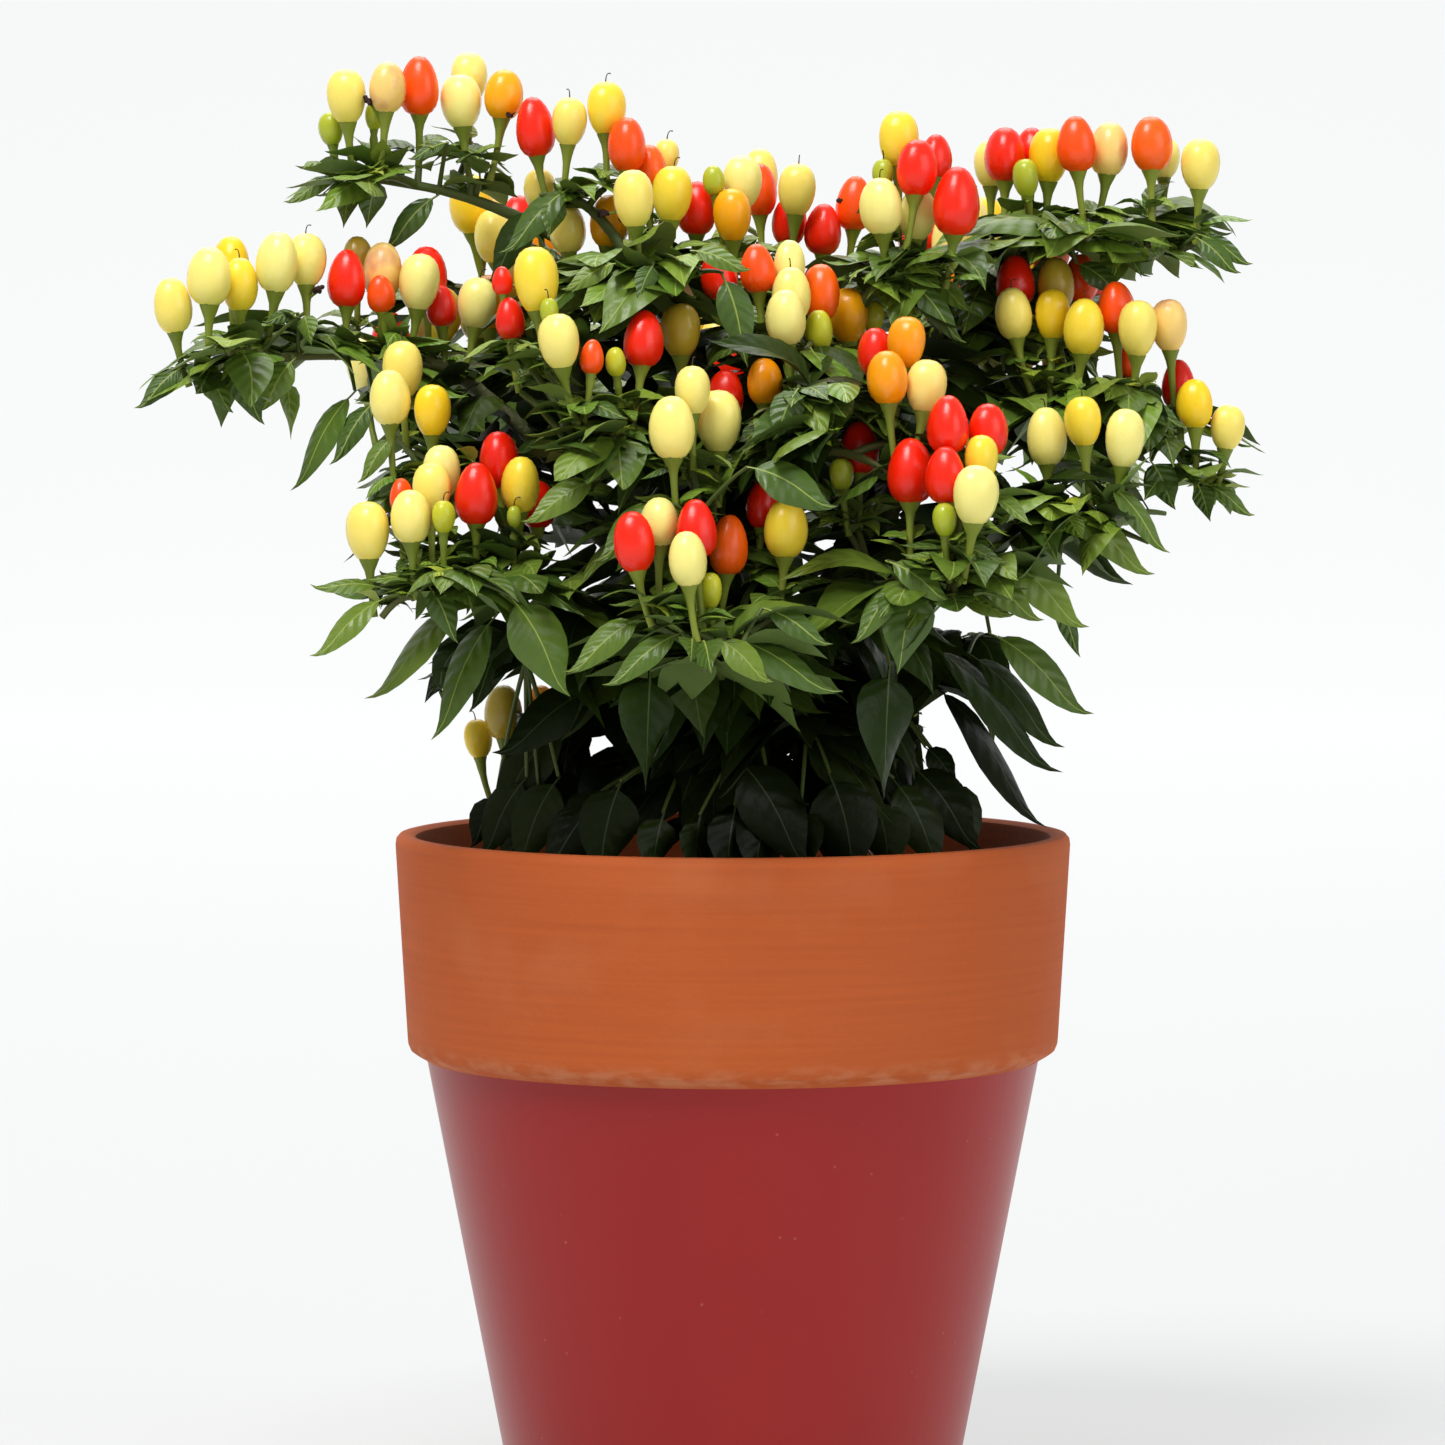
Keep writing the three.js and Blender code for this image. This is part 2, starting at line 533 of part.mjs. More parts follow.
// Grows every mass at once: stems and twigs first, then fruits, then leaves, so that none crosses
// another. A twig, fruit or leaf that would touch something else is left out.
function growMasses(limbs, pot) {
  const plans = MASSES.map((mass, index) => planMass(mass, index, limbs));
  settleFruits(plans.flatMap((plan) => plan.fruits));
  const fixed = [pot, ...[...limbs.values()].map((limb) => limb.solid)].map(boxed);
  const grown = plans.map(({ mass }) => ({ name: mass.name, wood: [], fruits: [], leaves: [] }));
  const piecesOf = ({ wood, fruits, leaves }) => [...wood, ...fruits, ...leaves];
  const foreign = (index) => grown.flatMap((mass, k) => (k === index ? [] : piecesOf(mass)));
  const blocked = (index, test) => touches(test, fixed) || touches(test, foreign(index));

  plans.forEach(({ stem, length }, index) => {
    const rings = Math.ceil(length / STEM_STEP);
    let solid = limbSolid(stem, tapered(STEM_RADIUS), TWIG_SIDES, rings);
    for (const limb of limbs.values()) solid = solid.subtract(limb.grown);
    for (const { fat } of foreign(index)) solid = solid.subtract(fat);
    const fat = limbSolid(stem, tapered(STEM_RADIUS), TWIG_SIDES, rings, CLEAR);
    grown[index].wood.push({ ...boxed(largestBody(solid)), fat });
  });
  plans.forEach((plan, index) => {
    plan.twigs = plan.twigs.filter(({ curve }) => {
      if (blocked(index, limbSolid(curve, tapered(TWIG_RADIUS), TWIG_SIDES, 1, CLEAR))) return false;
      grown[index].wood.push(boxed(limbSolid(curve, tapered(TWIG_RADIUS), TWIG_SIDES, 1)));
      return true;
    });
  });
  plans.forEach((plan, index) => {
    for (const fruit of plan.fruits) {
      const test = fruitSolid(fruit, CLEAR);
      if (fruit.bud || blocked(index, test) || touches(test, grown[index].fruits)) continue;
      grown[index].fruits.push(boxed(fruitSolid(fruit)));
    }
  });
  const most = Math.max(...plans.map((plan) => plan.leaves.length));
  for (let i = 0; i < most; i++) {
    plans.forEach(({ mass, leaves }, index) => {
      const own = grown[index];
      if (!leaves[i] || own.leaves.length >= mass.leaves) return;
      const blade = leafSolid(leaves[i], LEAF_STALK, CLEAR);
      if (!blade || blocked(index, leafSolid(leaves[i], 0, CLEAR)) || touches(blade, piecesOf(own))) return;
      own.leaves.push(boxed(leafSolid(leaves[i])));
    });
  }
  return grown.map((mass) => ({ name: mass.name, solid: joined(piecesOf(mass).map(({ solid }) => solid)) }));
}

const boxed = (solid) => ({ solid, box: solid.boundingBox() });

const plant = new THREE.Group();
const pot = potSolid();
plant.add(meshOf("pot", pot, clay));
plant.add(meshOf("compost", compostSolid(), compost));
const limbs = growLimbs();
for (const { name, solid } of limbs.values()) plant.add(meshOf(name, solid, bark));
for (const { name, solid } of growMasses(limbs, pot)) plant.add(meshOf("foliage_" + name, solid, foliage));

export default plant;
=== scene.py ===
"""An ornamental chilli pepper plant in a banded clay pot, dressed for its picture.

Sizes are in millimetres in the classes and turn to metres where a mesh is made. The origin is the
centre of the pot's flat underside, +Z is up and the plant is seen from -Y. The trunk and boughs,
the stems of the masses of foliage, their twigs, leaves and fruits grow by the same rule as the
solids that they replace, and go on from there to spurs, stalks and finer leaves.
"""

import json  # noqa: E402
import logging  # noqa: E402
import math  # noqa: E402
from collections.abc import Callable, Sequence  # noqa: E402
from dataclasses import dataclass, field  # noqa: E402
from enum import Enum  # noqa: E402

import bpy  # noqa: E402
import numpy as np  # noqa: E402
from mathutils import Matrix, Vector, noise  # noqa: E402

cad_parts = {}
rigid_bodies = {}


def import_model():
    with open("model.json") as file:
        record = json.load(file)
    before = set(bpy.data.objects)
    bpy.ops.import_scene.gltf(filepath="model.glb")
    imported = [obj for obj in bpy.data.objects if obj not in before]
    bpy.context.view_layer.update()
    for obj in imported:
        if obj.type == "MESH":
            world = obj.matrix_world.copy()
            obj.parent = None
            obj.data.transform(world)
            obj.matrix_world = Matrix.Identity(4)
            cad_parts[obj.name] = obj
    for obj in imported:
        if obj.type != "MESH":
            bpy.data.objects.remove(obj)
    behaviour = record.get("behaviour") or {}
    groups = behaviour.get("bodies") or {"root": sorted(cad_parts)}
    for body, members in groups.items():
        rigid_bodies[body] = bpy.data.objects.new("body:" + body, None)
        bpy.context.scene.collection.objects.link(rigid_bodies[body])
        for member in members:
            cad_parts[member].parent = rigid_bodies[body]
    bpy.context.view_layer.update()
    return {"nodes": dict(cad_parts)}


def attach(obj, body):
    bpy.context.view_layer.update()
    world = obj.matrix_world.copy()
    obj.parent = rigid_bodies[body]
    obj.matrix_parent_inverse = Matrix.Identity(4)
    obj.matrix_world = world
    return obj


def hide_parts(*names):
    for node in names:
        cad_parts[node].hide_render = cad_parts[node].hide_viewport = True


log = logging.getLogger("chilli")
LEAF_MAP = "leaf_map"

MM = 0.001
TURN = 2 * math.pi
UP = np.array([0.0, 0.0, 1.0])
EAST = np.array([1.0, 0.0, 0.0])
Point = np.ndarray
Faces = list[tuple[int, ...]]
Pair = tuple[float, float]
Triple = tuple[float, float, float]
Factor = Callable[[float, float], float]
Socket = bpy.types.NodeSocket


# Small sums on points


def unit(way: Point) -> Point:
    """Returns a direction with a length of one."""
    return way / max(float(np.linalg.norm(way)), 1e-9)


def turned(way: Point, angle: float) -> Point:
    """Returns a direction turned about the upright axis by an angle in radians."""
    c, s = math.cos(angle), math.sin(angle)
    return np.array([c * way[0] - s * way[1], s * way[0] + c * way[1], way[2]])


def rolled(way: Point, axis: Point, angle: float) -> Point:
    """Returns a direction turned about any axis of length one."""
    c, s = math.cos(angle), math.sin(angle)
    return way * c + np.cross(axis, way) * s + axis * float(axis @ way) * (1 - c)


def linear(shown: Triple) -> tuple[float, float, float, float]:
    """Turns a colour as shown, from 0 to 255, to the value that a shader mixes.

    Args:
        shown: Red, green and blue as a screen shows them.

    Returns:
        Red, green, blue and an alpha of one, on a linear scale.
    """
    parts = [c / 255 for c in shown]
    made = [c / 12.92 if c <= 0.04045 else ((c + 0.055) / 1.055) ** 2.4 for c in parts]
    return (made[0], made[1], made[2], 1.0)


class Stream:
    """A repeatable stream of numbers, the same as the one that grew the solids."""

    def __init__(self, seed: int) -> None:
        """Starts the stream at a seed."""
        self.state = seed % 4294967296

    def next(self) -> float:
        """Returns the next number from 0 to 1."""
        self.state = (self.state * 1664525 + 1013904223) % 4294967296
        return self.state / 4294967296

    def between(self, low: float, high: float) -> float:
        """Returns the next number between two others."""
        return low + (high - low) * self.next()

    def turn(self) -> float:
        """Returns the next angle, of up to a whole turn."""
        return self.between(0, TURN)

    def pick(self, count: int) -> int:
        """Returns the next whole number below a count."""
        return min(int(self.next() * count), count - 1)


@dataclass(frozen=True)
class Arc:
    """A smooth arc from one point to another, drawn towards a third."""

    start: Point
    bend: Point
    end: Point

    def point(self, share: float) -> Point:
        """Returns the point at a share of the arc."""
        rest = 1 - share
        return rest * rest * self.start + 2 * rest * share * self.bend + share * share * self.end

    def path(self, count: int) -> Point:
        """Returns evenly shared points along the arc."""
        return np.array([self.point(i / (count - 1)) for i in range(count)])

    def cut(self, share: float) -> "Arc":
        """Returns the arc's first part, up to a share of it."""
        return Arc(self.start, self.start + (self.bend - self.start) * share, self.point(share))

    def length(self) -> float:
        """Returns the arc's length."""
        steps = np.diff(self.path(201), axis=0)
        return float(np.linalg.norm(steps, axis=1).sum())

    @staticmethod
    def bowed(start: Point, end: Point, arch: float) -> "Arc":
        """Returns an arc that bows upwards by a height, as a laden shoot does."""
        return Arc(start, (start + end) / 2 + UP * 2 * arch, end)

    @staticmethod
    def rising(start: Point, end: Point, steepness: float) -> "Arc":
        """Returns an arc that leaves steeply, as a limb does at a fork."""
        bend = start + (end - start) / 3
        bend[2] = start[2] + (end[2] - start[2]) * steepness
        return Arc(start, bend, end)


# Making meshes


@dataclass
class Shape:
    """The points and faces of one small thing, and where each point lies on its leaf map."""

    points: Point
    faces: Faces
    marks: Point | None = None


@dataclass
class Heap:
    """Many small copies of one kind, gathered to be joined as one piece."""

    points: list[Point] = field(default_factory=list)
    marks: list[Point] = field(default_factory=list)
    faces: Faces = field(default_factory=list)
    looks: list[int] = field(default_factory=list)
    count: int = 0
    copies: int = 0

    def add(self, shape: Shape, looks: int | Sequence[int]) -> None:
        """Adds a copy of its own.

        Args:
            shape: Its points, in millimetres, and its faces.
            looks: The place in the piece's list of finishes, for all faces or for each one.
        """
        self.points.append(shape.points)
        if shape.marks is not None:
            self.marks.append(shape.marks)
        self.faces.extend(tuple(i + self.count for i in face) for face in shape.faces)
        self.looks.extend([looks] * len(shape.faces) if isinstance(looks, int) else looks)
        self.count += len(shape.points)
        self.copies += 1

    def joined(self, name: str, finishes: Sequence[bpy.types.Material], smooth: float) -> bpy.types.Object:
        """Joins the copies into one piece.

        Args:
            name: The piece's name.
            finishes: Its materials, in the order that the looks name them.
            smooth: The widest angle in degrees that is shaded as a smooth one.

        Returns:
            The new object, at the origin.
        """
        mesh = bpy.data.meshes.new(name)
        mesh.from_pydata((np.concatenate(self.points) * MM).tolist(), [], self.faces)
        for finish in finishes:
            mesh.materials.append(finish)
        mesh.polygons.foreach_set("material_index", self.looks)
        if self.marks:
            corners = np.empty(len(mesh.loops), dtype=np.int32)
            mesh.loops.foreach_get("vertex_index", corners)
            placed = np.concatenate(self.marks)[corners]
            mesh.uv_layers.new(name=LEAF_MAP).data.foreach_set("uv", placed.ravel())
        mesh.update()
        piece = bpy.data.objects.new(name, mesh)
        bpy.context.scene.collection.objects.link(piece)
        smoothed(piece, smooth)
        return piece


def select_only(piece: bpy.types.Object) -> None:
    """Selects one object and nothing else, because an operator acts on all that is selected."""
    bpy.ops.object.select_all(action="DESELECT")
    piece.select_set(True)
    bpy.context.view_layer.objects.active = piece


def smoothed(piece: bpy.types.Object, degrees: float) -> None:
    """Shades an object smooth, apart from edges that are sharper than an angle in degrees."""
    select_only(piece)
    bpy.ops.object.shade_smooth_by_angle(angle=math.radians(degrees), keep_sharp_edges=False)


def apply_modifier(piece: bpy.types.Object, kind: str, **settings: object) -> None:
    """Adds a modifier with its settings and applies it."""
    select_only(piece)
    modifier = piece.modifiers.new(kind.lower(), kind)
    for key, value in settings.items():
        setattr(modifier, key, value)
    bpy.ops.object.modifier_apply(modifier=modifier.name)


def spun(name: str, profile: Sequence[Pair], steps: int) -> bpy.types.Object:
    """Spins a profile about the upright axis, as clay on a wheel.

    Args:
        name: The object's name.
        profile: Radius and height of each point, in millimetres, from one end to the other.
        steps: How many faces go round.

    Returns:
        The closed object, with its faces pointing out.
    """
    bpy.ops.object.select_all(action="DESELECT")
    bpy.ops.mesh.primitive_plane_add(size=MM)
    piece = bpy.context.object
    piece.name = piece.data.name = name
    bpy.ops.object.mode_set(mode="EDIT")
    bpy.ops.mesh.select_mode(type="VERT")
    bpy.ops.mesh.select_all(action="SELECT")
    bpy.ops.mesh.merge(type="CENTER")
    bpy.ops.transform.translate(value=Vector((profile[0][0], 0, profile[0][1])) * MM)
    for (radius, height), (wide, high) in zip(profile, profile[1:], strict=False):
        step = Vector((wide - radius, 0, high - height)) * MM
        bpy.ops.mesh.extrude_region_move(TRANSFORM_OT_translate={"value": step})
    bpy.ops.mesh.select_all(action="SELECT")
    bpy.ops.mesh.spin(steps=steps, angle=TURN, center=(0, 0, 0), axis=(0, 0, 1))
    bpy.ops.mesh.select_all(action="SELECT")
    bpy.ops.mesh.remove_doubles(threshold=0.01 * MM)
    bpy.ops.mesh.normals_make_consistent(inside=False)
    bpy.ops.object.mode_set(mode="OBJECT")
    return piece


def taken_up(piece: bpy.types.Object) -> Shape:
    """Takes a modelled object's points, in millimetres, and faces, and removes the object."""
    mesh = piece.data
    points = np.empty(len(mesh.vertices) * 3)
    mesh.vertices.foreach_get("co", points)
    faces = [tuple(face.vertices) for face in mesh.polygons]
    bpy.data.objects.remove(piece)
    bpy.data.meshes.remove(mesh)
    return Shape(points.reshape(-1, 3) / MM, faces)


def tube(path: Point, radii: Point, sides: int, relief: Factor | None = None) -> Shape:
    """Draws a closed round limb along a path.

    Args:
        path: The middle of each ring.
        radii: The radius of each ring.
        sides: How many corners a ring has.
        relief: Gives a factor on the radius from the share of the path and the angle round it.

    Returns:
        The limb's points and faces, with both ends closed.
    """
    ways = np.gradient(path, axis=0)
    side = unit(np.cross(ways[0], [0.31, 0.17, 0.05]))
    rings = []
    for i, (middle, way) in enumerate(zip(path, ways, strict=True)):
        way = unit(way)
        side = unit(side - way * float(side @ way))
        over = np.cross(way, side)
        share = i / (len(path) - 1)
        for k in range(sides):
            angle = TURN * k / sides
            radius = radii[i] * (relief(share, angle) if relief else 1.0)
            rings.append(middle + (side * math.cos(angle) + over * math.sin(angle)) * radius)
    faces: Faces = []
    for i in range(len(path) - 1):
        for k in range(sides):
            near, far = i * sides + k, i * sides + (k + 1) % sides
            faces.append((near, far, far + sides, near + sides))
    last = (len(path) - 1) * sides
    faces.append(tuple(range(sides - 1, -1, -1)))
    faces.append(tuple(range(last, last + sides)))
    return Shape(np.array(rings), faces)


# Finishes


class Nodes:
    """The nodes of one material or group, with short calls to add and join them."""

    def __init__(self, tree: bpy.types.NodeTree) -> None:
        """Takes the tree to work on."""
        self.tree = tree

    def feed(self, node: bpy.types.Node, **inputs: object) -> None:
        """Sets some of a node's inputs.

        Args:
            node: The node.
            inputs: A value or another node's output for each input. A key is in_ and the input's
                name, with underscores for spaces, or its place.
        """
        for key, value in inputs.items():
            name = key[3:].replace("_", " ")
            socket = node.inputs[int(name)] if name.isdigit() else node.inputs[name]
            if isinstance(value, Socket):
                self.tree.links.new(value, socket)
            else:
                socket.default_value = value

    def add(self, kind: str, **settings: object) -> bpy.types.Node:
        """Adds a node of a kind.

        Args:
            kind: The node's type without the words ShaderNode.
            settings: Its properties, and its inputs under keys that start with in_.

        Returns:
            The new node.
        """
        node = self.tree.nodes.new("ShaderNode" + kind)
        inputs = {key: value for key, value in settings.items() if key.startswith("in_")}
        for key, value in settings.items():
            if key not in inputs:
                setattr(node, key, value)
        self.feed(node, **inputs)
        return node

    def where(self, scale: Triple = (1, 1, 1)) -> Socket:
        """Returns the place on the object, in metres, stretched by a scale."""
        place = self.add("TexCoord").outputs["Object"]
        return self.add("Mapping", in_Vector=place, in_Scale=scale).outputs["Vector"]

    def speckle(self, where: Socket, scale: float, detail: float = 3) -> Socket:
        """Returns soft noise from 0 to 1 at a scale."""
        made = self.add("TexNoise", in_Vector=where, in_Scale=scale, in_Detail=detail)
        return made.outputs["Fac"]

    def spread(self, value: Socket, low: float, high: float, to: Pair = (0.0, 1.0)) -> Socket:
        """Returns a value moved from one range to another and kept within it."""
        made = self.add("MapRange", in_Value=value, in_From_Min=low, in_From_Max=high,
                        in_To_Min=to[0], in_To_Max=to[1])
        return made.outputs["Result"]

    def worked(self, operation: str, *values: object) -> Socket:
        """Returns what an operation makes of one or two values."""
        inputs = {f"in_{i}": value for i, value in enumerate(values)}
        return self.add("Math", operation=operation, **inputs).outputs[0]

    def mixed(self, share: Socket, one: object, other: object) -> Socket:
        """Returns a mix, by a share, of two colours, each an output or a colour as shown."""
        one, other = (part if isinstance(part, Socket) else linear(part) for part in (one, other))
        return self.add("Mix", data_type="RGBA", in_0=share, in_6=one, in_7=other).outputs[2]


class Relief:
    """A node group that turns noise into the tiny bumps of a surface, shared by the finishes."""

    NAME = "fine_relief"

    @classmethod
    def group(cls) -> bpy.types.NodeTree:
        """Returns the group, made the first time that it is asked for."""
        if cls.NAME in bpy.data.node_groups:
            return bpy.data.node_groups[cls.NAME]
        tree = bpy.data.node_groups.new(cls.NAME, "ShaderNodeTree")
        for name in ("Scale", "Depth"):
            tree.interface.new_socket(name, in_out="INPUT", socket_type="NodeSocketFloat")
        tree.interface.new_socket("Normal", in_out="OUTPUT", socket_type="NodeSocketVector")
        nodes = Nodes(tree)
        given = tree.nodes.new("NodeGroupInput")
        result = tree.nodes.new("NodeGroupOutput")
        grain = nodes.add("TexNoise", in_Vector=nodes.where(), in_Scale=given.outputs["Scale"],
                          in_Detail=4.0)
        bump = nodes.add("Bump", in_Height=grain.outputs["Fac"], in_Distance=given.outputs["Depth"])
        tree.links.new(bump.outputs["Normal"], result.inputs["Normal"])
        return tree

    @classmethod
    def of(cls, nodes: Nodes, scale: float, depth: float) -> Socket:
        """Returns a normal with bumps at a scale, of a depth in metres."""
        node = nodes.add("Group", node_tree=cls.group(), in_Scale=scale, in_Depth=depth)
        return node.outputs["Normal"]


@dataclass(frozen=True)
class Finish:
    """What every finish has: a name, and a way to build its nodes."""

    name: str

    def material(self) -> bpy.types.Material:
        """Returns the finished material."""
        material = bpy.data.materials.new(self.name)
        material.use_nodes = True
        self.build(Nodes(material.node_tree), material.node_tree.nodes["Principled BSDF"])
        return material

    def build(self, nodes: Nodes, shader: bpy.types.Node) -> None:
        """Adds the finish's nodes to its material and joins them to the shader."""
        raise NotImplementedError


@dataclass(frozen=True)
class Terracotta(Finish):
    """Bare fired clay: faint marks of the wheel, chalky patches and a pale bloom at the ledge."""

    warm: Triple = (186, 90, 42)
    deep: Triple = (176, 84, 39)
    chalk: Triple = (206, 150, 112)
    bloom_height: float = 119.5
    bloom_depth: float = 5.0
    bloom_fade: float = 2.0
    bloom_share: float = 0.42
    wheel: Triple = (0.3, 0.3, 12.0)
    shine: float = 0.22

    def build(self, nodes: Nodes, shader: bpy.types.Node) -> None:
        """Adds the rings, the chalky patches, the bloom and the pores."""
        where = nodes.where()
        rings = nodes.speckle(nodes.where(self.wheel), 60, 6)
        cloud = nodes.speckle(where, 26, 5)
        body = nodes.mixed(nodes.spread(rings, 0.25, 0.75), self.deep, self.warm)
        body = nodes.mixed(nodes.spread(cloud, 0.52, 0.85, (0.0, 0.22)), body, self.chalk)
        height = nodes.add("SeparateXYZ", in_Vector=where).outputs["Z"]
        low = (self.bloom_height - self.bloom_depth) * MM
        near = nodes.spread(height, low, self.bloom_height * MM, (1.0, 0.0))
        above = nodes.spread(height, low - self.bloom_fade * MM, low)
        ragged = nodes.spread(nodes.speckle(nodes.where((1, 1, 2.6)), 130, 5), 0.42, 0.62)
        bloom = nodes.worked("MULTIPLY", nodes.worked("MULTIPLY", near, above), ragged)
        body = nodes.mixed(nodes.spread(bloom, 0.0, 1.0, (0.0, self.bloom_share)), body, self.chalk)
        pores = nodes.spread(nodes.speckle(where, 900, 2), 0.7, 0.78, (0.0, 0.35))
        nodes.feed(shader, in_Base_Color=nodes.mixed(pores, body, self.deep),
                   in_Roughness=nodes.spread(cloud, 0.3, 0.8, (0.72, 0.9)),
                   in_Normal=Relief.of(nodes, 700, 0.00012), in_Specular_IOR_Level=self.shine)


@dataclass(frozen=True)
class RedPaint(Finish):
    """Semi-gloss paint brushed on the clay, with a few specks in it."""

    colour: Triple = (154, 26, 22)
    shade: Triple = (147, 22, 20)
    speck: Triple = (176, 84, 74)
    speck_size: Pair = (0.05, 0.11)
    shine: float = 0.34

    def build(self, nodes: Nodes, shader: bpy.types.Node) -> None:
        """Adds the brushed tones and the specks."""
        where = nodes.where()
        cloud = nodes.speckle(nodes.where((1, 1, 0.5)), 14, 4)
        body = nodes.mixed(nodes.spread(cloud, 0.3, 0.7), self.shade, self.colour)
        dots = nodes.add("TexVoronoi", in_Vector=where, in_Scale=210.0).outputs["Distance"]
        few = nodes.spread(nodes.speckle(where, 60, 2), 0.56, 0.62)
        speck = nodes.worked("MULTIPLY", nodes.spread(dots, *self.speck_size, (0.75, 0.0)), few)
        nodes.feed(shader, in_Base_Color=nodes.mixed(speck, body, self.speck),
                   in_Roughness=nodes.spread(cloud, 0.3, 0.7, (0.3, 0.38)),
                   in_Normal=Relief.of(nodes, 260, 0.00004), in_Specular_IOR_Level=self.shine)


@dataclass(frozen=True)
class Compost(Finish):
    """Damp dark compost with paler fibres."""

    dark: Triple = (32, 22, 16)
    pale: Triple = (84, 62, 44)

    def build(self, nodes: Nodes, shader: bpy.types.Node) -> None:
        """Adds the crumbs' two tones and a coarse relief."""
        crumbs = nodes.spread(nodes.speckle(nodes.where(), 420, 6), 0.45, 0.75)
        nodes.feed(shader, in_Base_Color=nodes.mixed(crumbs, self.dark, self.pale),
                   in_Roughness=0.95, in_Normal=Relief.of(nodes, 500, 0.0008))


@dataclass(frozen=True)
class Bark(Finish):
    """A young woody stem: green-brown with pale corky lines along it."""

    green: Triple = (64, 74, 34)
    brown: Triple = (76, 62, 38)
    cork: Triple = (112, 98, 66)
    woody_from: float = 165
    green_from: float = 235

    def build(self, nodes: Nodes, shader: bpy.types.Node) -> None:
        """Adds the brown foot, the green above it and the corky lines."""
        lines = nodes.speckle(nodes.where((6, 6, 1)), 130, 5)
        height = nodes.add("SeparateXYZ", in_Vector=nodes.where()).outputs["Z"]
        woody = nodes.spread(height, self.woody_from * MM, self.green_from * MM, (1.0, 0.15))
        body = nodes.mixed(woody, self.green, self.brown)
        body = nodes.mixed(nodes.spread(lines, 0.52, 0.72, (0.0, 0.7)), body, self.cork)
        nodes.feed(shader, in_Base_Color=body, in_Roughness=nodes.spread(lines, 0.3, 0.7, (0.5, 0.8)),
                   in_Normal=Relief.of(nodes, 900, 0.0003))


@dataclass(frozen=True)
class Skin(Finish):
    """A plant's own skin in one plain tone, with its gloss and fine relief."""

    colour: Triple = (60, 90, 40)
    rough: Pair = (0.35, 0.5)
    relief: Pair = (900, 0.0001)
    coat: float = 0.0
    depth: float = 0.0
    shine: float = 0.3

    def tone(self, nodes: Nodes) -> object:
        """Returns the colour, for a mesh with no pattern."""
        return linear(self.colour)

    def normal(self, nodes: Nodes) -> Socket:
        """Returns the normal, with the fine relief."""
        return Relief.of(nodes, *self.relief)

    def build(self, nodes: Nodes, shader: bpy.types.Node) -> None:
        """Adds the tone, an uneven gloss, the relief and a little light from within."""
        cloud = nodes.speckle(nodes.where(), 180, 3)
        nodes.feed(shader, in_Base_Color=self.tone(nodes), in_Normal=self.normal(nodes),
                   in_Roughness=nodes.spread(cloud, 0.3, 0.7, self.rough),
                   in_Specular_IOR_Level=self.shine, in_Coat_Weight=self.coat, in_Coat_Roughness=0.18,
                   in_Subsurface_Weight=self.depth, in_Subsurface_Radius=(1.0, 0.6, 0.3),
                   in_Subsurface_Scale=0.004)


@dataclass(frozen=True)
class BlushedSkin(Skin):
    """The skin of a pale pepper with soft pink patches on it."""

    blush: Triple = (212, 138, 112)

    def tone(self, nodes: Nodes) -> Socket:
        """Returns the colour with the patches."""
        patch = nodes.spread(nodes.speckle(nodes.where(), 120, 3), 0.53, 0.66, (0.0, 0.6))
        return nodes.mixed(patch, self.colour, self.blush)


@dataclass(frozen=True)
class LeafSkin(Skin):
    """The top of a leaf in one plain tone, quilted between side veins that run along its own map."""

    veins: float = 7.0
    sweep: float = 0.16
    quilt: float = 0.0002

    def normal(self, nodes: Nodes) -> Socket:
        """Returns the normal, quilted over the fine relief."""
        spot = nodes.add("SeparateXYZ", in_Vector=nodes.add("UVMap", uv_map=LEAF_MAP).outputs["UV"])
        slant = nodes.worked("MULTIPLY", nodes.worked("ABSOLUTE", spot.outputs["X"]), self.sweep)
        along = nodes.worked("SUBTRACT", spot.outputs["Y"], slant)
        wave = nodes.worked("SINE", nodes.worked("MULTIPLY", along, self.veins * TURN))
        bump = nodes.add("Bump", in_Height=nodes.spread(wave, -1, 1), in_Distance=self.quilt,
                         in_Normal=super().normal(nodes))
        return bump.outputs["Normal"]


@dataclass(frozen=True)
class Paper(Finish):
    """Pale paper with a painted glow that grows from the floor to the wall: painted light, dimmer on the
    floor at the front as painted shade.
    """

    glow: Pair
    floor_from: float
    wall_at: float

    def build(self, nodes: Nodes, shader: bpy.types.Node) -> None:
        """Adds the glow to a plain tone."""
        away = nodes.add("SeparateXYZ", in_Vector=nodes.where()).outputs["Y"]
        glow = nodes.spread(away, self.floor_from, self.wall_at, self.glow)
        nodes.feed(shader, in_Base_Color=(0.3, 0.3, 0.3, 1), in_Roughness=0.9, in_Specular_IOR_Level=0.1,
                   in_Emission_Color=(0.98, 1.0, 1.0, 1), in_Emission_Strength=glow)


# The pot


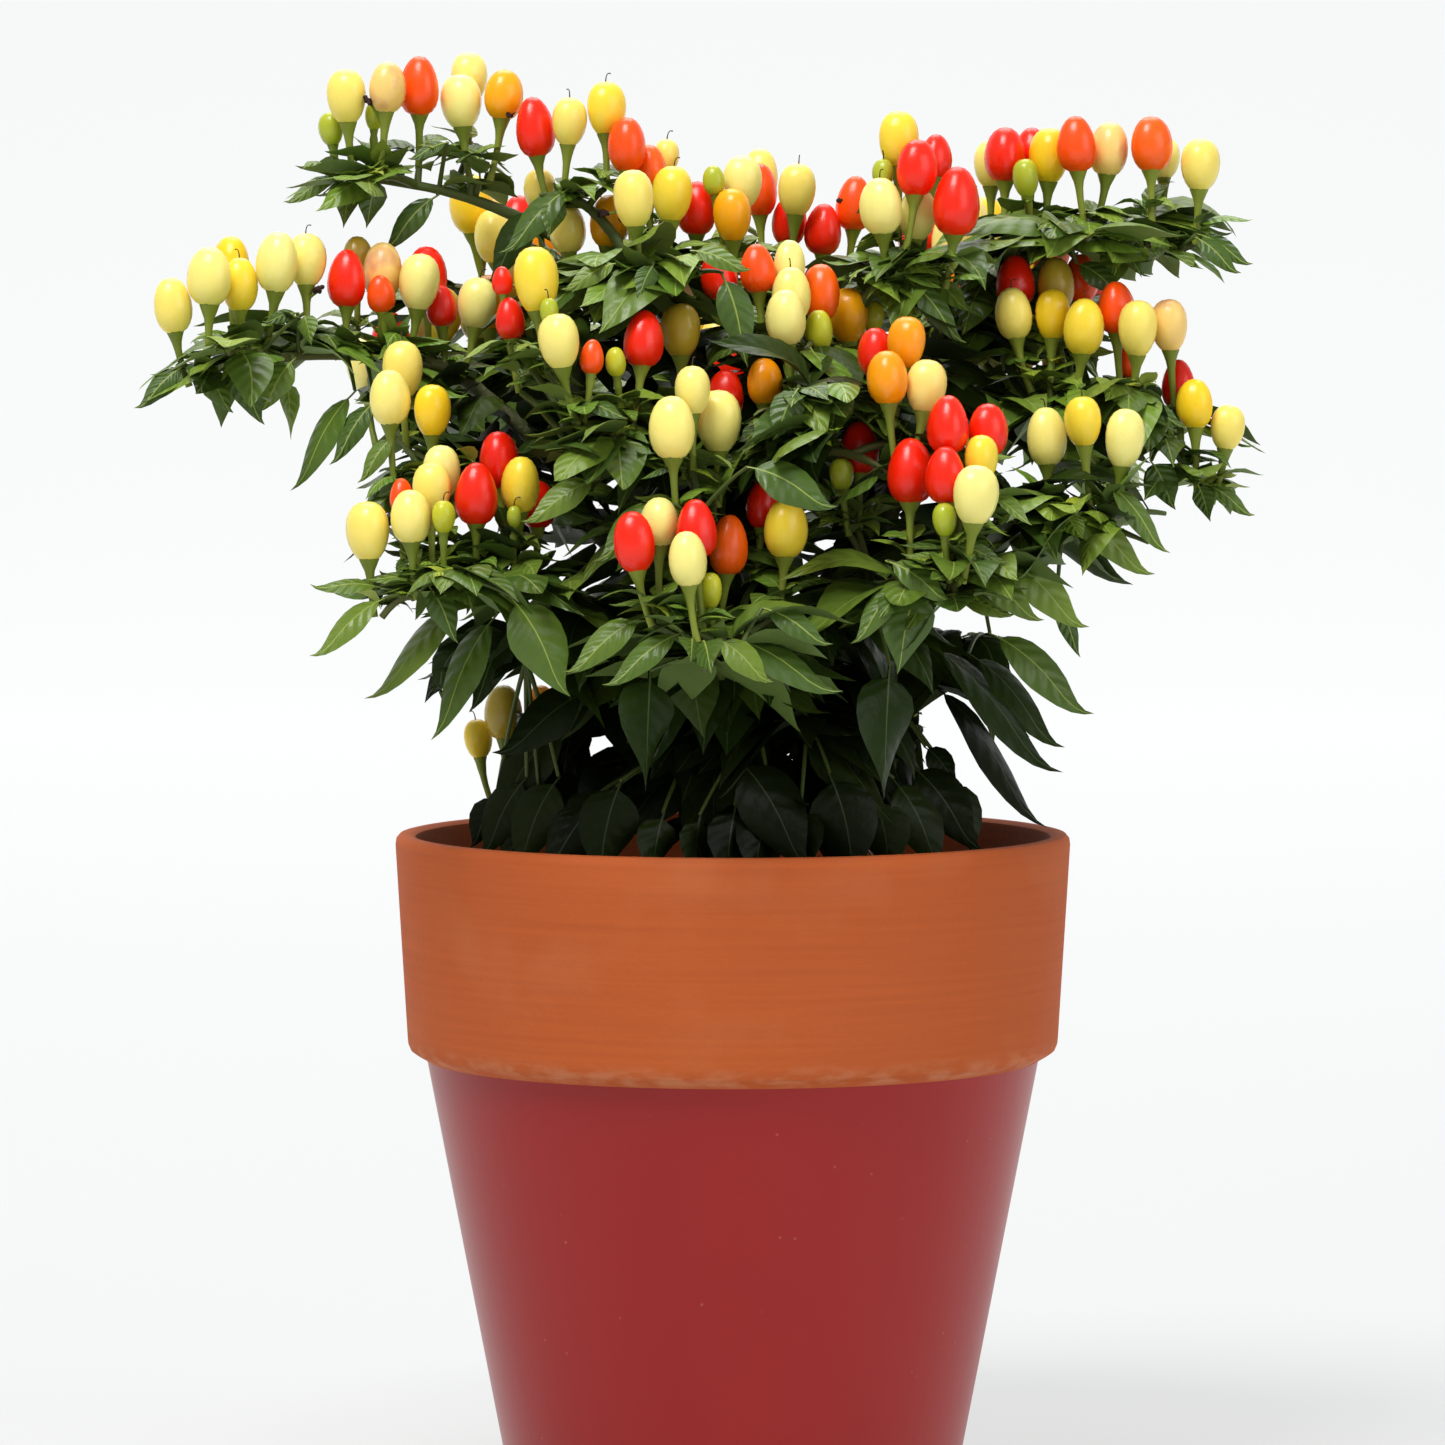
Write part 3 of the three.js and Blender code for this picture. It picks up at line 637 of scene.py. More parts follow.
@dataclass(frozen=True)
class Pot:
    """The clay pot: its band and lip, its red painted body and the compost in it."""

    height: float = 170
    foot_radius: float = 55
    shoulder: Pair = (76.8, 113)
    band_foot: Pair = (81.9, 118)
    lip_radius: float = 85
    lip_thickness: float = 5.6
    wall: float = 5.8
    floor: float = 8
    drain_circle: float = 27
    drain_radius: float = 6
    drain_holes: int = 3
    drain_sides: int = 40
    compost_top: float = 152
    coat: float = 0.25
    steps: int = 128
    crumbs: int = 420

    def outside(self, height: float) -> float:
        """Returns the body's outside radius at a height."""
        wide, high = self.shoulder
        return self.foot_radius + (wide - self.foot_radius) * height / high

    def inside(self, height: float) -> float:
        """Returns the inside radius at a height."""
        wide, high = self.shoulder
        if height <= high:
            return self.outside(height) - self.wall
        share = (height - high) / (self.height - high)
        return wide - self.wall + (self.lip_radius - self.lip_thickness - wide + self.wall) * share

    def hit_by(self, points: Point) -> bool:
        """Says whether any of the points lies in the pot's wall or in the compost."""
        wide = np.hypot(points[:, 0], points[:, 1])
        low = points[:, 2] < self.height + 0.8
        inner = np.array([self.inside(float(z)) - 1.0 for z in points[:, 2]])
        in_wall = low & (wide > inner) & (wide < self.lip_radius + 1.0)
        return bool((in_wall | (points[:, 2] < self.compost_top + 1.2)).any())

    def clay(self) -> bpy.types.Object:
        """Spins the clay body and cuts its drain holes."""
        inner = self.inside(self.height)
        wide, high = self.shoulder
        foot, foot_high = self.band_foot
        lip = self.lip_radius
        profile = [
            (0, 0),
            (self.foot_radius - 1.2, 0),
            (self.foot_radius - 0.2, 0.5),
            (self.outside(1.6), 1.6),
            (self.outside(40), 40),
            (self.outside(80), 80),
            (wide, high),
            (foot - 2.0, foot_high - 3.2),
            (foot - 0.7, foot_high - 2.3),
            (foot - 0.1, foot_high - 0.9),
            (foot + 0.05, foot_high + 0.8),
            (foot + 1.1, foot_high + 18),
            (lip - 0.9, self.height - 16),
            (lip - 0.1, self.height - 2.6),
            (lip - 0.3, self.height - 1.2),
            (lip - 1.1, self.height - 0.25),
            (lip - 2.2, self.height),
            (inner + 1.6, self.height - 0.1),
            (inner + 0.5, self.height - 0.8),
            (inner, self.height - 2.2),
            (self.inside(140), 140),
            (self.inside(high), high),
            (self.inside(60), 60),
            (self.inside(self.floor) + 0.2, self.floor + 3),
            (self.inside(self.floor) - 2.5, self.floor),
            (0, self.floor),
        ]
        piece = spun("clay_pot", profile, self.steps)
        for i in range(self.drain_holes):
            place = turned(EAST, i / self.drain_holes * TURN + TURN / 4) * self.drain_circle * MM
            bpy.ops.object.select_all(action="DESELECT")
            bpy.ops.mesh.primitive_cylinder_add(
                vertices=self.drain_sides,
                radius=self.drain_radius * MM,
                depth=3 * self.floor * MM,
                location=tuple(place),
            )
            cutter = bpy.context.object
            apply_modifier(piece, "BOOLEAN", object=cutter, operation="DIFFERENCE", solver="EXACT")
            bpy.data.objects.remove(cutter)
        return piece

    def paint(self) -> bpy.types.Object:
        """Spins the thin coat of paint on the body, from the foot to the ledge under the band."""
        heights = [1.4, 2.4, 30, 60, 90, self.shoulder[1] - 0.6, self.shoulder[1] + 0.3]
        out = [self.coat * 0.3] + [self.coat] * 5 + [self.coat * 0.9]
        outer = [(self.outside(h) + o, h) for h, o in zip(heights, out, strict=True)]
        inner = [(self.outside(h) - 0.3, h) for h in reversed(heights)]
        return spun("painted_coat", [*outer, *inner, outer[0]], self.steps)

    def surface(self, x: float, y: float) -> float:
        """Returns how high the loose compost lies at a place."""
        heaped = noise.noise(Vector((x * 0.05, y * 0.05, 3.0))) * 1.6
        lumpy = noise.noise(Vector((x * 0.22, y * 0.22, 7.0))) * 1.1
        return self.compost_top - 0.6 + heaped + lumpy

    def compost(self) -> bpy.types.Object:
        """Spins the compost that fills the pot and roughens its top."""
        radii = [70, 64, 58, 52, 46, 40, 34, 28, 22, 16, 11, 6, 2.5]
        edge = self.inside(self.compost_top) - 0.3
        profile = [
            (0, self.floor + 0.4),
            (self.inside(self.floor) - 3, self.floor + 0.4),
            (self.inside(60) - 0.4, 60),
            (self.inside(self.shoulder[1]) - 0.4, self.shoulder[1]),
            (edge, self.compost_top - 2.5),
            *[(radius, self.compost_top) for radius in radii],
            (0, self.compost_top),
        ]
        piece = spun("compost_fill", profile, 72)
        for vertex in piece.data.vertices:
            x, y, z = (c / MM for c in vertex.co)
            if z > self.compost_top - 1:
                vertex.co.z = self.surface(x, y) * MM
        return piece

    def loose_crumbs(self, shades: int) -> Heap:
        """Strews small crumbs and fibres on the compost.

        Args:
            shades: How many finishes the crumbs are dealt.

        Returns:
            The crumbs, half sunk in the surface.
        """
        bpy.ops.object.select_all(action="DESELECT")
        bpy.ops.mesh.primitive_ico_sphere_add(subdivisions=1, radius=MM)
        crumb = taken_up(bpy.context.object)
        heap, stream = Heap(), Stream(4021)
        for _ in range(self.crumbs):
            radius = (self.inside(self.compost_top) - 3) * math.sqrt(stream.next())
            angle = stream.turn()
            x, y = radius * math.cos(angle), radius * math.sin(angle)
            size = np.array([stream.between(0.5, 1.6) for _ in range(3)])
            points = crumb.points * size + [x, y, self.surface(x, y) + 0.2]
            heap.add(Shape(points, crumb.faces), stream.pick(shades))
        return heap


# The plant's frame of limbs


@dataclass(frozen=True)
class Bough:
    """A limb: what it leaves, how far along that, where it ends, and its radii."""

    name: str
    parent: str
    at: float
    to: Triple
    radii: Pair


@dataclass
class Limbs:
    """The trunk and the boughs, as the solids have them, with the relief of their bark."""

    foot_height: float = 152.3
    trunk_fork: Triple = (1, 2, 203)
    trunk_radii: Pair = (5.2, 4.3)
    trunk_straight: float = 24
    flare_radius: float = 8.5
    flare_share: float = 0.28
    steepness: float = 0.62
    boughs: tuple[Bough, ...] = (
        Bough("bough_crown", "trunk", 1, (2, 4, 262), (3.4, 2.5)),
        Bough("bough_left", "trunk", 0.92, (-37, -6, 248), (3.4, 2.4)),
        Bough("bough_right", "trunk", 0.8, (39, -4, 248), (3.4, 2.4)),
        Bough("bough_back", "trunk", 0.95, (-3, 38, 250), (3.2, 2.3)),
        Bough("bough_front", "trunk", 0.7, (3, -34, 228), (3.1, 2.2)),
        Bough("bough_upper_left", "bough_left", 1, (-42, 22, 318), (2.3, 1.7)),
        Bough("bough_outer_left", "bough_left", 0.92, (-72, -7, 287), (2.3, 1.7)),
        Bough("bough_upper_right", "bough_right", 1, (56, 15, 303), (2.3, 1.7)),
        Bough("bough_outer_right", "bough_right", 0.92, (64, -6, 271), (2.2, 1.7)),
        Bough("bough_low_right", "bough_right", 0.8, (58, -34, 246), (2.1, 1.7)),
        Bough("bough_low_left", "bough_front", 0.9, (-33, -48, 229), (2.1, 1.7)),
        Bough("bough_front_low", "bough_front", 1, (-3, -68, 214), (2.1, 1.7)),
        Bough("bough_front_right", "bough_front", 0.85, (30, -54, 229), (2.1, 1.7)),
        Bough("bough_crown_left", "bough_crown", 1, (-20, 0, 304), (2.3, 1.7)),
        Bough("bough_crown_right", "bough_crown", 0.92, (26, -6, 289), (2.3, 1.7)),
        Bough("bough_crown_front", "bough_crown", 0.84, (4, -38, 262), (2.2, 1.7)),
        Bough("bough_back_left", "bough_back", 1, (-48, 48, 280), (2.3, 1.7)),
        Bough("bough_back_right", "bough_back", 0.93, (48, 52, 280), (2.3, 1.7)),
        Bough("bough_back_low", "bough_back", 0.85, (2, 76, 254), (2.2, 1.7)),
    )
    arcs: dict[str, Arc] = field(default_factory=dict)

    def trunk_radius(self, share: float) -> float:
        """Returns the trunk's radius at a share of its height, with the flare at its foot."""
        thick, thin = self.trunk_radii
        flare = max(0.0, 1 - share / self.flare_share)
        return thick + (thin - thick) * share + (self.flare_radius - thick) * flare * flare

    @staticmethod
    def ridged(seed: float, ridges: int, depth: float) -> Factor:
        """Returns a relief of ridges that wander along a limb, with knots where leaves were.

        Args:
            seed: A number that sets this limb apart from the others.
            ridges: How many ridges go round.
            depth: Their height as a share of the radius.

        Returns:
            The factor on the radius for a share and an angle.
        """

        def factor(share: float, angle: float) -> float:
            """Returns the factor at one place."""
            rib = math.sin(ridges * angle + seed + 1.6 * math.sin(4 * share + seed))
            rough = noise.noise(Vector((math.cos(angle) * 1.7, math.sin(angle) * 1.7, share * 9 + seed)))
            knot = max(0.0, math.cos(share * 2 * math.pi * 4 + seed)) ** 12
            return 1 + depth * (rib + 1.4 * rough) + 0.14 * knot

        return factor

    def grow(self) -> Heap:
        """Grows the trunk and the boughs, and keeps their arcs for what leaves them.

        Returns:
            All limbs, with one look each.
        """
        heap = Heap()
        foot = np.array([0.0, 0.0, self.foot_height])
        arc = Arc(foot, foot + UP * self.trunk_straight, np.array(self.trunk_fork, float))
        self.arcs["trunk"] = arc
        path = arc.path(34)
        path[0] -= UP * 3.5
        radii = np.array([self.trunk_radius(i / 33) for i in range(34)])
        heap.add(tube(path, radii, 20, self.ridged(0.7, 6, 0.045)), 0)
        for i, bough in enumerate(self.boughs):
            start = self.arcs[bough.parent].point(bough.at)
            arc = Arc.rising(start, np.array(bough.to, float), self.steepness)
            self.arcs[bough.name] = arc
            thick, thin = bough.radii
            radii = thick + (thin - thick) * np.linspace(0, 1, 22)
            heap.add(tube(arc.path(22), radii, 12, self.ridged(1.3 * i + 2, 5, 0.05)), 0)
        return heap


# Fruits


class Ripeness(Enum):
    """The colours that a pepper passes through, and cream in painted shade, with the letter that a spray
    names each by.
    """

    GREEN = "g"
    CREAM = "c"
    BLUSHED = "b"
    YELLOW = "y"
    AMBER = "o"
    SCARLET = "s"
    RED = "r"
    # Painted shade: a darker, olive copy of cream for cream peppers that stand in shade
    OLIVE = "v"


@dataclass(frozen=True)
class Seen:
    """A pepper that the picture shows: its centre in the picture, its letter and its size.

    A letter in capitals is a full pepper and a small one a bud. Back is how far behind its stem,
    in millimetres, it stands.
    """

    across: float
    down: float
    letter: str
    size: float = 1.0
    back: float = 0.0


@dataclass
class Fruit:
    """One pepper: where its stalk leaves the shoot, its centre, its size and its ripeness."""

    foot: Point
    centre: Point
    scale: float
    ripeness: Ripeness
    axis: Point = field(default_factory=lambda: UP.copy())
    wide: float = 5.0
    long: float = 14.0


@dataclass(frozen=True)
class View:
    """The photograph's view: how its pixels lie on the plant."""

    pixels: float = 1445
    axis_across: float = 733
    horizon_down: float = 197
    eye_height: float = 329.6
    distance: float = 2137
    focal: float = 8509
    pitch: float = 3.53
    sensor: float = 36

    def place(self, across: float, down: float, depth: float) -> Point:
        """Returns the point on the plant that a pixel shows.

        Args:
            across: The pixel's column.
            down: The pixel's row.
            depth: How far behind the pot's axis the point lies, in millimetres.

        Returns:
            The point, in millimetres.
        """
        scale = (self.distance + depth) / self.focal
        x = (across - self.axis_across) * scale
        return np.array([x, depth, self.eye_height - (down - self.horizon_down) * scale])

    def across(self, point: Point) -> float:
        """Returns the column that shows a point."""
        return self.axis_across + point[0] * self.focal / (self.distance + point[1])

    def shown(self, points: Point) -> Point:
        """Returns the columns and rows that show some points."""
        scale = self.focal / (self.distance + points[:, 1])
        return np.stack([self.axis_across + points[:, 0] * scale,
                         self.horizon_down + (self.eye_height - points[:, 2]) * scale], axis=1)

    def camera(self) -> bpy.types.Object:
        """Places the camera where the photograph was taken from."""
        data = bpy.data.cameras.new("camera")
        data.lens = self.focal / self.pixels * self.sensor
        data.sensor_width = self.sensor
        data.clip_end = 50
        camera = bpy.data.objects.new("camera", data)
        bpy.context.scene.collection.objects.link(camera)
        camera.location = (-2.6 * MM, -self.distance * MM, self.eye_height * MM)
        camera.rotation_euler = (math.radians(90 - self.pitch), 0, 0)
        bpy.context.scene.camera = camera
        return camera


@dataclass(frozen=True)
class Mass:
    """A mass of foliage: its stem, its peppers and its leaves, as the solids' source names them.

    The letters are of its peppers from the tip inwards. Where the picture shows them, seen holds
    their places and takes the letters' part.
    """

    name: str
    limb: str
    at: float
    tip: Triple
    arch: float
    pitch: float
    letters: str
    leaf: float
    hang: float
    seen: tuple[Seen, ...] = ()


MASSES = (
    Mass("top_left", "bough_upper_left", 1, (-95, 15, 334), 4, 6.6, "gCgBSCCO", 28, 1.1, (
        Seen(335, 129, "g", 1.05), Seen(350, 97, "C"), Seen(376, 116, "g", 0.8), Seen(392, 88, "B", 0.92),
        Seen(421, 86, "S", 1.05), Seen(469, 78, "C", 0.9, 8), Seen(463, 102, "C", 1.02),
        Seen(494, 95, "O", 0.95),
    )),
    Mass("left", "bough_outer_left", 1, (-131, -25, 286), 4, 6.6, "CCOCCCRSC", 33, 1.2, (
        Seen(184, 305, "C", 0.95), Seen(209, 276, "C", 1.05), Seen(233, 262, "Y", 0.9, 9),
        Seen(246, 284, "Y", 0.88), Seen(269, 262, "C", 1.0), Seen(301, 260, "C", 1.0),
        Seen(347, 278, "R", 0.96), Seen(360, 259, "V", 0.8, 12), Seen(388, 270, "B", 0.95, 5),
        Seen(381, 293, "s", 1.15, -3), Seen(413, 282, "C", 1.02), Seen(430, 275, "R", 0.98, 8),
        Seen(441, 305, "R", 0.75, 6), Seen(475, 303, "C", 0.95, 5),
    )),
    Mass("left_middle", "bough_left", 1, (-76, -44, 262), 5, 7, "CCY", 36, 1.2, (
        Seen(394, 397, "C", 1.02), Seen(403, 369, "C", 0.95, 10), Seen(427, 410, "Y", 0.92),
    )),
    Mass("left_low", "bough_low_left", 1, (-78, -72, 233), 4, 6, "CSCYCRCRR", 33, 1.2, (
        Seen(375, 531, "C", 1.05), Seen(403, 495, "S", 0.6, 12), Seen(409, 516, "C", 0.98),
        Seen(431, 488, "C", 0.9, 7), Seen(437, 516, "g", 0.95, -4), Seen(439, 472, "C", 0.9, 12),
        Seen(476, 493, "R", 1.0), Seen(500, 460, "R", 0.95, 9), Seen(519, 484, "Y", 0.95),
        Seen(537, 504, "R", 0.85, 8), Seen(514, 516, "g", 0.6, -4),
    )),
    Mass("crown_far_left", "bough_crown_left", 1, (-42, 12, 331), 4, 5.6, "RCOSCC", 27, 1, (
        Seen(541, 127, "R", 1.0), Seen(570, 122, "C", 0.85, -3), Seen(604, 109, "Y", 0.95),
        Seen(632, 145, "S", 0.92, 4), Seen(646, 170, "S", 0.85, 9), Seen(661, 156, "C", 0.62, 12),
        Seen(540, 190, "C", 0.8, 10), Seen(572, 228, "C", 0.95), Seen(605, 221, "O", 0.98, 6),
    )),
    Mass("crown_left", "bough_crown_left", 1, (-22, -42, 308), 4, 6.4, "CYSROC", 32, 1, (
        Seen(634, 199, "C", 1.0), Seen(674, 194, "Y", 1.03), Seen(698, 208, "R", 1.0, 6),
    )),
    Mass("crown_back", "bough_crown", 1, (8, 28, 308), 8, 6, "OCYCSR", 26, 1, (
        Seen(716, 180, "g", 0.9), Seen(739, 182, "C", 0.95), Seen(761, 175, "C", 0.9, 10),
        Seen(765, 190, "S", 0.9, 4), Seen(790, 190, "C", 0.95), Seen(792, 221, "R", 0.85),
        Seen(732, 215, "O", 0.95, -6), Seen(825, 229, "R", 0.9), Seen(853, 203, "S", 0.92),
    )),
    Mass("crown_middle", "bough_crown_right", 1, (18, -36, 292), 4, 6, "RCSR", 30, 1, (
        Seen(729, 274, "R", 0.9, 6), Seen(760, 268, "S", 0.88, 4), Seen(787, 264, "C", 0.8, 10),
        Seen(780, 294, "C", 0.95, 3), Seen(786, 317, "C", 1.0, -4), Seen(821, 292, "S", 1.0),
        Seen(819, 330, "g", 1.15, -5), Seen(850, 315, "O", 1.02), Seen(871, 315, "g", 0.9, 5),
    )),
    Mass("crown_right", "bough_crown_right", 1, (42, -16, 310), 6, 4.6, "CCRRYS", 30, 1, (
        Seen(903, 140, "Y", 0.98, 6), Seen(914, 168, "R", 0.98), Seen(932, 156, "R", 0.8, 9),
        Seen(886, 174, "g", 0.9, 2), Seen(884, 206, "C", 1.05, -4), Seen(917, 215, "C", 0.9, 3),
        Seen(950, 201, "R", 1.15, -2),
    )),
    Mass("upper_right", "bough_upper_right", 1, (111, 10, 315), 8, 6.4, "CCSBRYgSY", 30, 1.1, (
        Seen(991, 164, "C", 0.9, 12), Seen(1012, 155, "R", 1.0), Seen(1032, 150, "R", 0.85, 10),
        Seen(1024, 178, "g", 1.1, -3), Seen(1046, 156, "Y", 1.02), Seen(1077, 144, "S", 0.98),
        Seen(1108, 149, "B", 0.98), Seen(1146, 144, "S", 1.0), Seen(1163, 158, "C", 0.75, 10),
        Seen(1199, 165, "C", 0.95),
    )),
    Mass("right_middle", "bough_outer_right", 1, (118, -8, 257), 14, 6.6, "YCRCCSYOC", 31, 1.2, (
        Seen(1017, 281, "R", 0.95, 10), Seen(1057, 284, "V", 0.95, 8), Seen(1076, 278, "S", 0.9, 14),
        Seen(1017, 313, "C", 0.9), Seen(1058, 314, "Y", 0.85, 4), Seen(1075, 326, "Y", 1.02),
        Seen(1118, 307, "S", 0.95), Seen(1135, 328, "C", 0.95, -4), Seen(1168, 325, "B", 0.95),
        Seen(1127, 361, "s", 0.9, 6), Seen(1181, 384, "R", 0.85, 6), Seen(1197, 403, "Y", 0.9, 2),
        Seen(1223, 427, "C", 0.82),
    )),
    Mass("right_back", "bough_upper_right", 1, (84, 52, 284), 6, 7, "RYSC", 32, 1.1),
    Mass("right_low", "bough_low_right", 1, (102, -50, 245), 5, 7, "CYCCr", 34, 1.2, (
        Seen(1046, 436, "C", 1.0), Seen(1090, 421, "Y", 0.9), Seen(1117, 438, "C", 0.98),
    )),
    Mass("front_right", "bough_front_right", 1, (54, -84, 232), 6, 6, "gCRYRgRR", 35, 1.2, (
        Seen(857, 447, "R", 0.95, 3), Seen(910, 470, "R", 1.12), Seen(844, 473, "g", 1.0),
        Seen(956, 424, "R", 0.98, 8), Seen(985, 430, "R", 0.95, 12), Seen(953, 474, "R", 1.02, 3),
        Seen(973, 458, "Y", 0.8, 10), Seen(968, 494, "C", 1.08, -4), Seen(946, 519, "g", 1.0, -3),
    )),
    Mass("centre", "bough_front", 1, (-9, -80, 252), 6, 6, "CCSCR", 34, 1.1, (
        Seen(692, 390, "C", 0.85, 8), Seen(726, 395, "R", 0.9, 10), Seen(672, 427, "C", 1.08),
        Seen(714, 421, "C", 1.05), Seen(688, 408, "S", 0.6, 12),
    )),
    Mass("centre_high", "bough_crown_front", 1, (17, -60, 280), 6, 6, "CgOSCY", 32, 1, (
        Seen(764, 381, "o", 1.4), Seen(881, 352, "R", 0.85, 10), Seen(901, 342, "O", 0.95, 8),
    )),
    Mass("centre_left", "bough_crown_front", 1, (-38, -64, 266), 6, 7, "CYsgRC", 34, 1, (
        Seen(533, 280, "Y", 1.1, 8), Seen(546, 311, "g", 0.75, 4), Seen(559, 341, "C", 0.98),
        Seen(592, 356, "s", 0.95), Seen(616, 361, "g", 0.8), Seen(643, 338, "R", 0.98, 4),
        Seen(681, 330, "V", 1.0, 8), Seen(512, 318, "R", 0.7, 12), Seen(506, 280, "R", 0.5, 14),
    )),
    Mass("centre_right", "bough_crown_front", 1, (39, -66, 262), 6, 6, "OBRYo", 34, 1, (
        Seen(890, 377, "O", 0.98), Seen(923, 386, "B", 0.95, 3),
    )),
    Mass("front_low", "bough_front_low", 1, (-7, -100, 216), 4, 5.6, "gCSRYRYR", 40, 1.1, (
        Seen(662, 522, "C", 0.9, 9), Seen(636, 541, "R", 0.98, 5), Seen(689, 528, "R", 0.95, 7),
        Seen(688, 558, "C", 0.92), Seen(728, 544, "S", 0.98), Seen(710, 590, "g", 1.0, -3),
        Seen(762, 503, "R", 0.8, 12), Seen(785, 528, "Y", 1.05, 3),
    )),
    Mass("back_top_left", "bough_back_left", 1, (-66, 74, 304), 7, 7, "CYRCOCS", 34, 1),
    Mass("back_left", "bough_back_left", 1, (-92, 56, 266), 6, 7, "CRCYCOR", 35, 1.2),
    Mass("back_top_right", "bough_back_right", 1, (58, 86, 302), 7, 7, "YSCRCCO", 34, 1),
    Mass("back_right", "bough_back_right", 1, (94, 64, 254), 7, 7, "CRYCSCR", 35, 1.2),
    Mass("back_middle", "bough_back_low", 1, (-20, 112, 278), 8, 7, "CSYRCBR", 36, 1.1),
    Mass("back_low", "bough_back_low", 1, (31, 106, 236), 9, 7, "YCRCOCS", 38, 1.2),
    Mass("skirt_left", "trunk", 0.8, (-58, -24, 218), 4, 9, "", 48, 1.7),
    Mass("skirt_right", "trunk", 0.66, (62, -20, 221), 4, 9, "", 52, 1.7),
    Mass("skirt_front", "trunk", 0.5, (6, -48, 200), 5, 9, "", 42, 1.5),
    Mass("skirt_back_left", "trunk", 0.6, (-54, 38, 196), 5, 9, "YRO", 44, 1.5, (
        Seen(500, 712, "V", 0.95), Seen(482, 739, "Y", 0.75), Seen(541, 705, "O", 0.7, 6),
    )),
    Mass("skirt_back_right", "trunk", 0.55, (44, 46, 202), 5, 9, "", 46, 1.6),
)


@dataclass(frozen=True)
class SeenLeaf:
    """A leaf that the picture shows well: the pixels of its root and its tip, and its shown width.

    Depth is how far behind the pot's axis its root lies, and nearer how much closer to the eye its
    tip is, both in millimetres.
    """

    root: Pair
    tip: Pair
    wide: float
    depth: float
    nearer: float = 4
    # aged_and_shaded leaves are low ones, drawn darker as painted shade besides their age
    aged_and_shaded: bool = False


# Each row: the root's column and row, the tip's column and row, then wide, depth, nearer and aged_and_shaded
SEEN_LEAVES = tuple(
    SeenLeaf((root_across, root_down), (tip_across, tip_down), *rest)
    for root_across, root_down, tip_across, tip_down, *rest in (
        (341, 176, 284, 201, 18, 15), (354, 178, 344, 228, 24, 12), (379, 176, 367, 228, 28, 10),
        (440, 194, 380, 250, 26, 16), (574, 186, 498, 252, 30, 2), (540, 205, 487, 283, 34, 12, 4, True),
        (450, 142, 408, 158, 14, 10), (560, 196, 548, 238, 24, 2), (187, 364, 134, 407, 22, -28),
        (199, 366, 234, 412, 26, -30), (230, 363, 265, 424, 29, -28), (296, 357, 259, 411, 28, -26),
        (288, 378, 291, 440, 22, -20), (357, 389, 290, 490, 24, -22), (376, 400, 329, 464, 24, -26),
        (395, 434, 357, 482, 18, -44), (300, 312, 262, 320, 14, -24), (304, 312, 312, 345, 20, -28),
        (382, 588, 309, 583, 16, -72), (386, 597, 308, 655, 24, -76), (427, 584, 458, 643, 26, -78),
        (470, 600, 363, 698, 26, -60), (498, 612, 430, 740, 32, -56),
        (515, 622, 468, 712, 34, -40, 4, True), (508, 595, 570, 696, 54, -84),
        (645, 616, 562, 671, 30, -92), (683, 632, 601, 684, 26, -98), (715, 634, 843, 690, 34, -92),
        (716, 638, 773, 681, 30, -100), (703, 640, 711, 673, 22, -104, 24),
        (692, 638, 690, 662, 18, -102, 20), (650, 670, 645, 791, 66, -84, 8, True),
        (680, 652, 704, 738, 48, -70, 4, True), (606, 684, 491, 752, 50, -44, 4, True),
        (572, 715, 478, 826, 48, -34, 4, True), (1195, 233, 1253, 263, 20, 8),
        (1193, 236, 1241, 272, 22, 4), (1166, 234, 1151, 262, 24, 4), (1138, 232, 1130, 270, 28, 6),
        (1069, 229, 1131, 256, 22, 8), (992, 236, 946, 291, 22, 4), (905, 278, 967, 342, 26, -22),
        (721, 272, 748, 367, 32, -46), (1074, 262, 1125, 291, 26, 2), (1133, 400, 1188, 425, 20, -14),
        (1202, 482, 1256, 514, 18, -10), (1197, 482, 1211, 521, 20, -12), (1150, 459, 1176, 509, 30, -16),
        (1106, 482, 1171, 552, 22, -48), (1063, 508, 1156, 573, 34, -52), (1000, 556, 1090, 626, 40, -66),
        (969, 570, 1045, 619, 30, -72), (958, 600, 1016, 613, 20, -60), (1055, 600, 1081, 657, 14, -44),
        (988, 632, 1095, 713, 40, -52, 2), (967, 652, 1066, 747, 36, -44, 0, True),
        (925, 642, 1064, 772, 36, -50, 0, True), (930, 681, 1049, 828, 28, -28, 2, True),
        (920, 582, 897, 674, 46, -84), (905, 581, 850, 643, 26, -84),
        (890, 664, 884, 800, 62, -66, 8, True), (909, 764, 984, 850, 50, -38, 6, True),
        (924, 746, 960, 781, 28, -34, 2, True), (528, 776, 478, 858, 44, -38, 2, True),
        (560, 776, 512, 872, 50, -44, 3, True), (618, 786, 532, 876, 52, -50, 4, True),
        (622, 780, 596, 884, 54, -56, 4, True), (664, 812, 650, 886, 50, -58, 4, True),
        (735, 757, 814, 872, 62, -58, 6, True), (772, 800, 752, 888, 54, -58, 4, True),
        (828, 772, 858, 884, 64, -54, 4, True), (892, 778, 946, 872, 50, -44, 3, True),
        (950, 778, 976, 856, 38, -34, 2, True), (540, 790, 500, 872, 44, -38, 3, True),
        (590, 800, 566, 884, 50, -50, 3, True), (700, 815, 694, 888, 50, -58, 3, True),
        (736, 805, 726, 890, 52, -60, 3, True), (800, 805, 806, 888, 54, -56, 3, True),
        (874, 796, 892, 882, 50, -48, 3, True), (498, 794, 470, 848, 32, -30, 2, True),
        (745, 466, 838, 505, 42, -86), (760, 607, 833, 643, 26, -96), (665, 500, 592, 560, 34, -84),
        (600, 478, 520, 520, 30, -74), (885, 560, 955, 600, 28, -86), (947, 545, 1010, 560, 20, -84),
        (800, 385, 772, 440, 30, -68), (690, 250, 752, 268, 22, -46), (620, 262, 560, 288, 22, -42),
        (655, 262, 636, 300, 20, -50),
    )
)


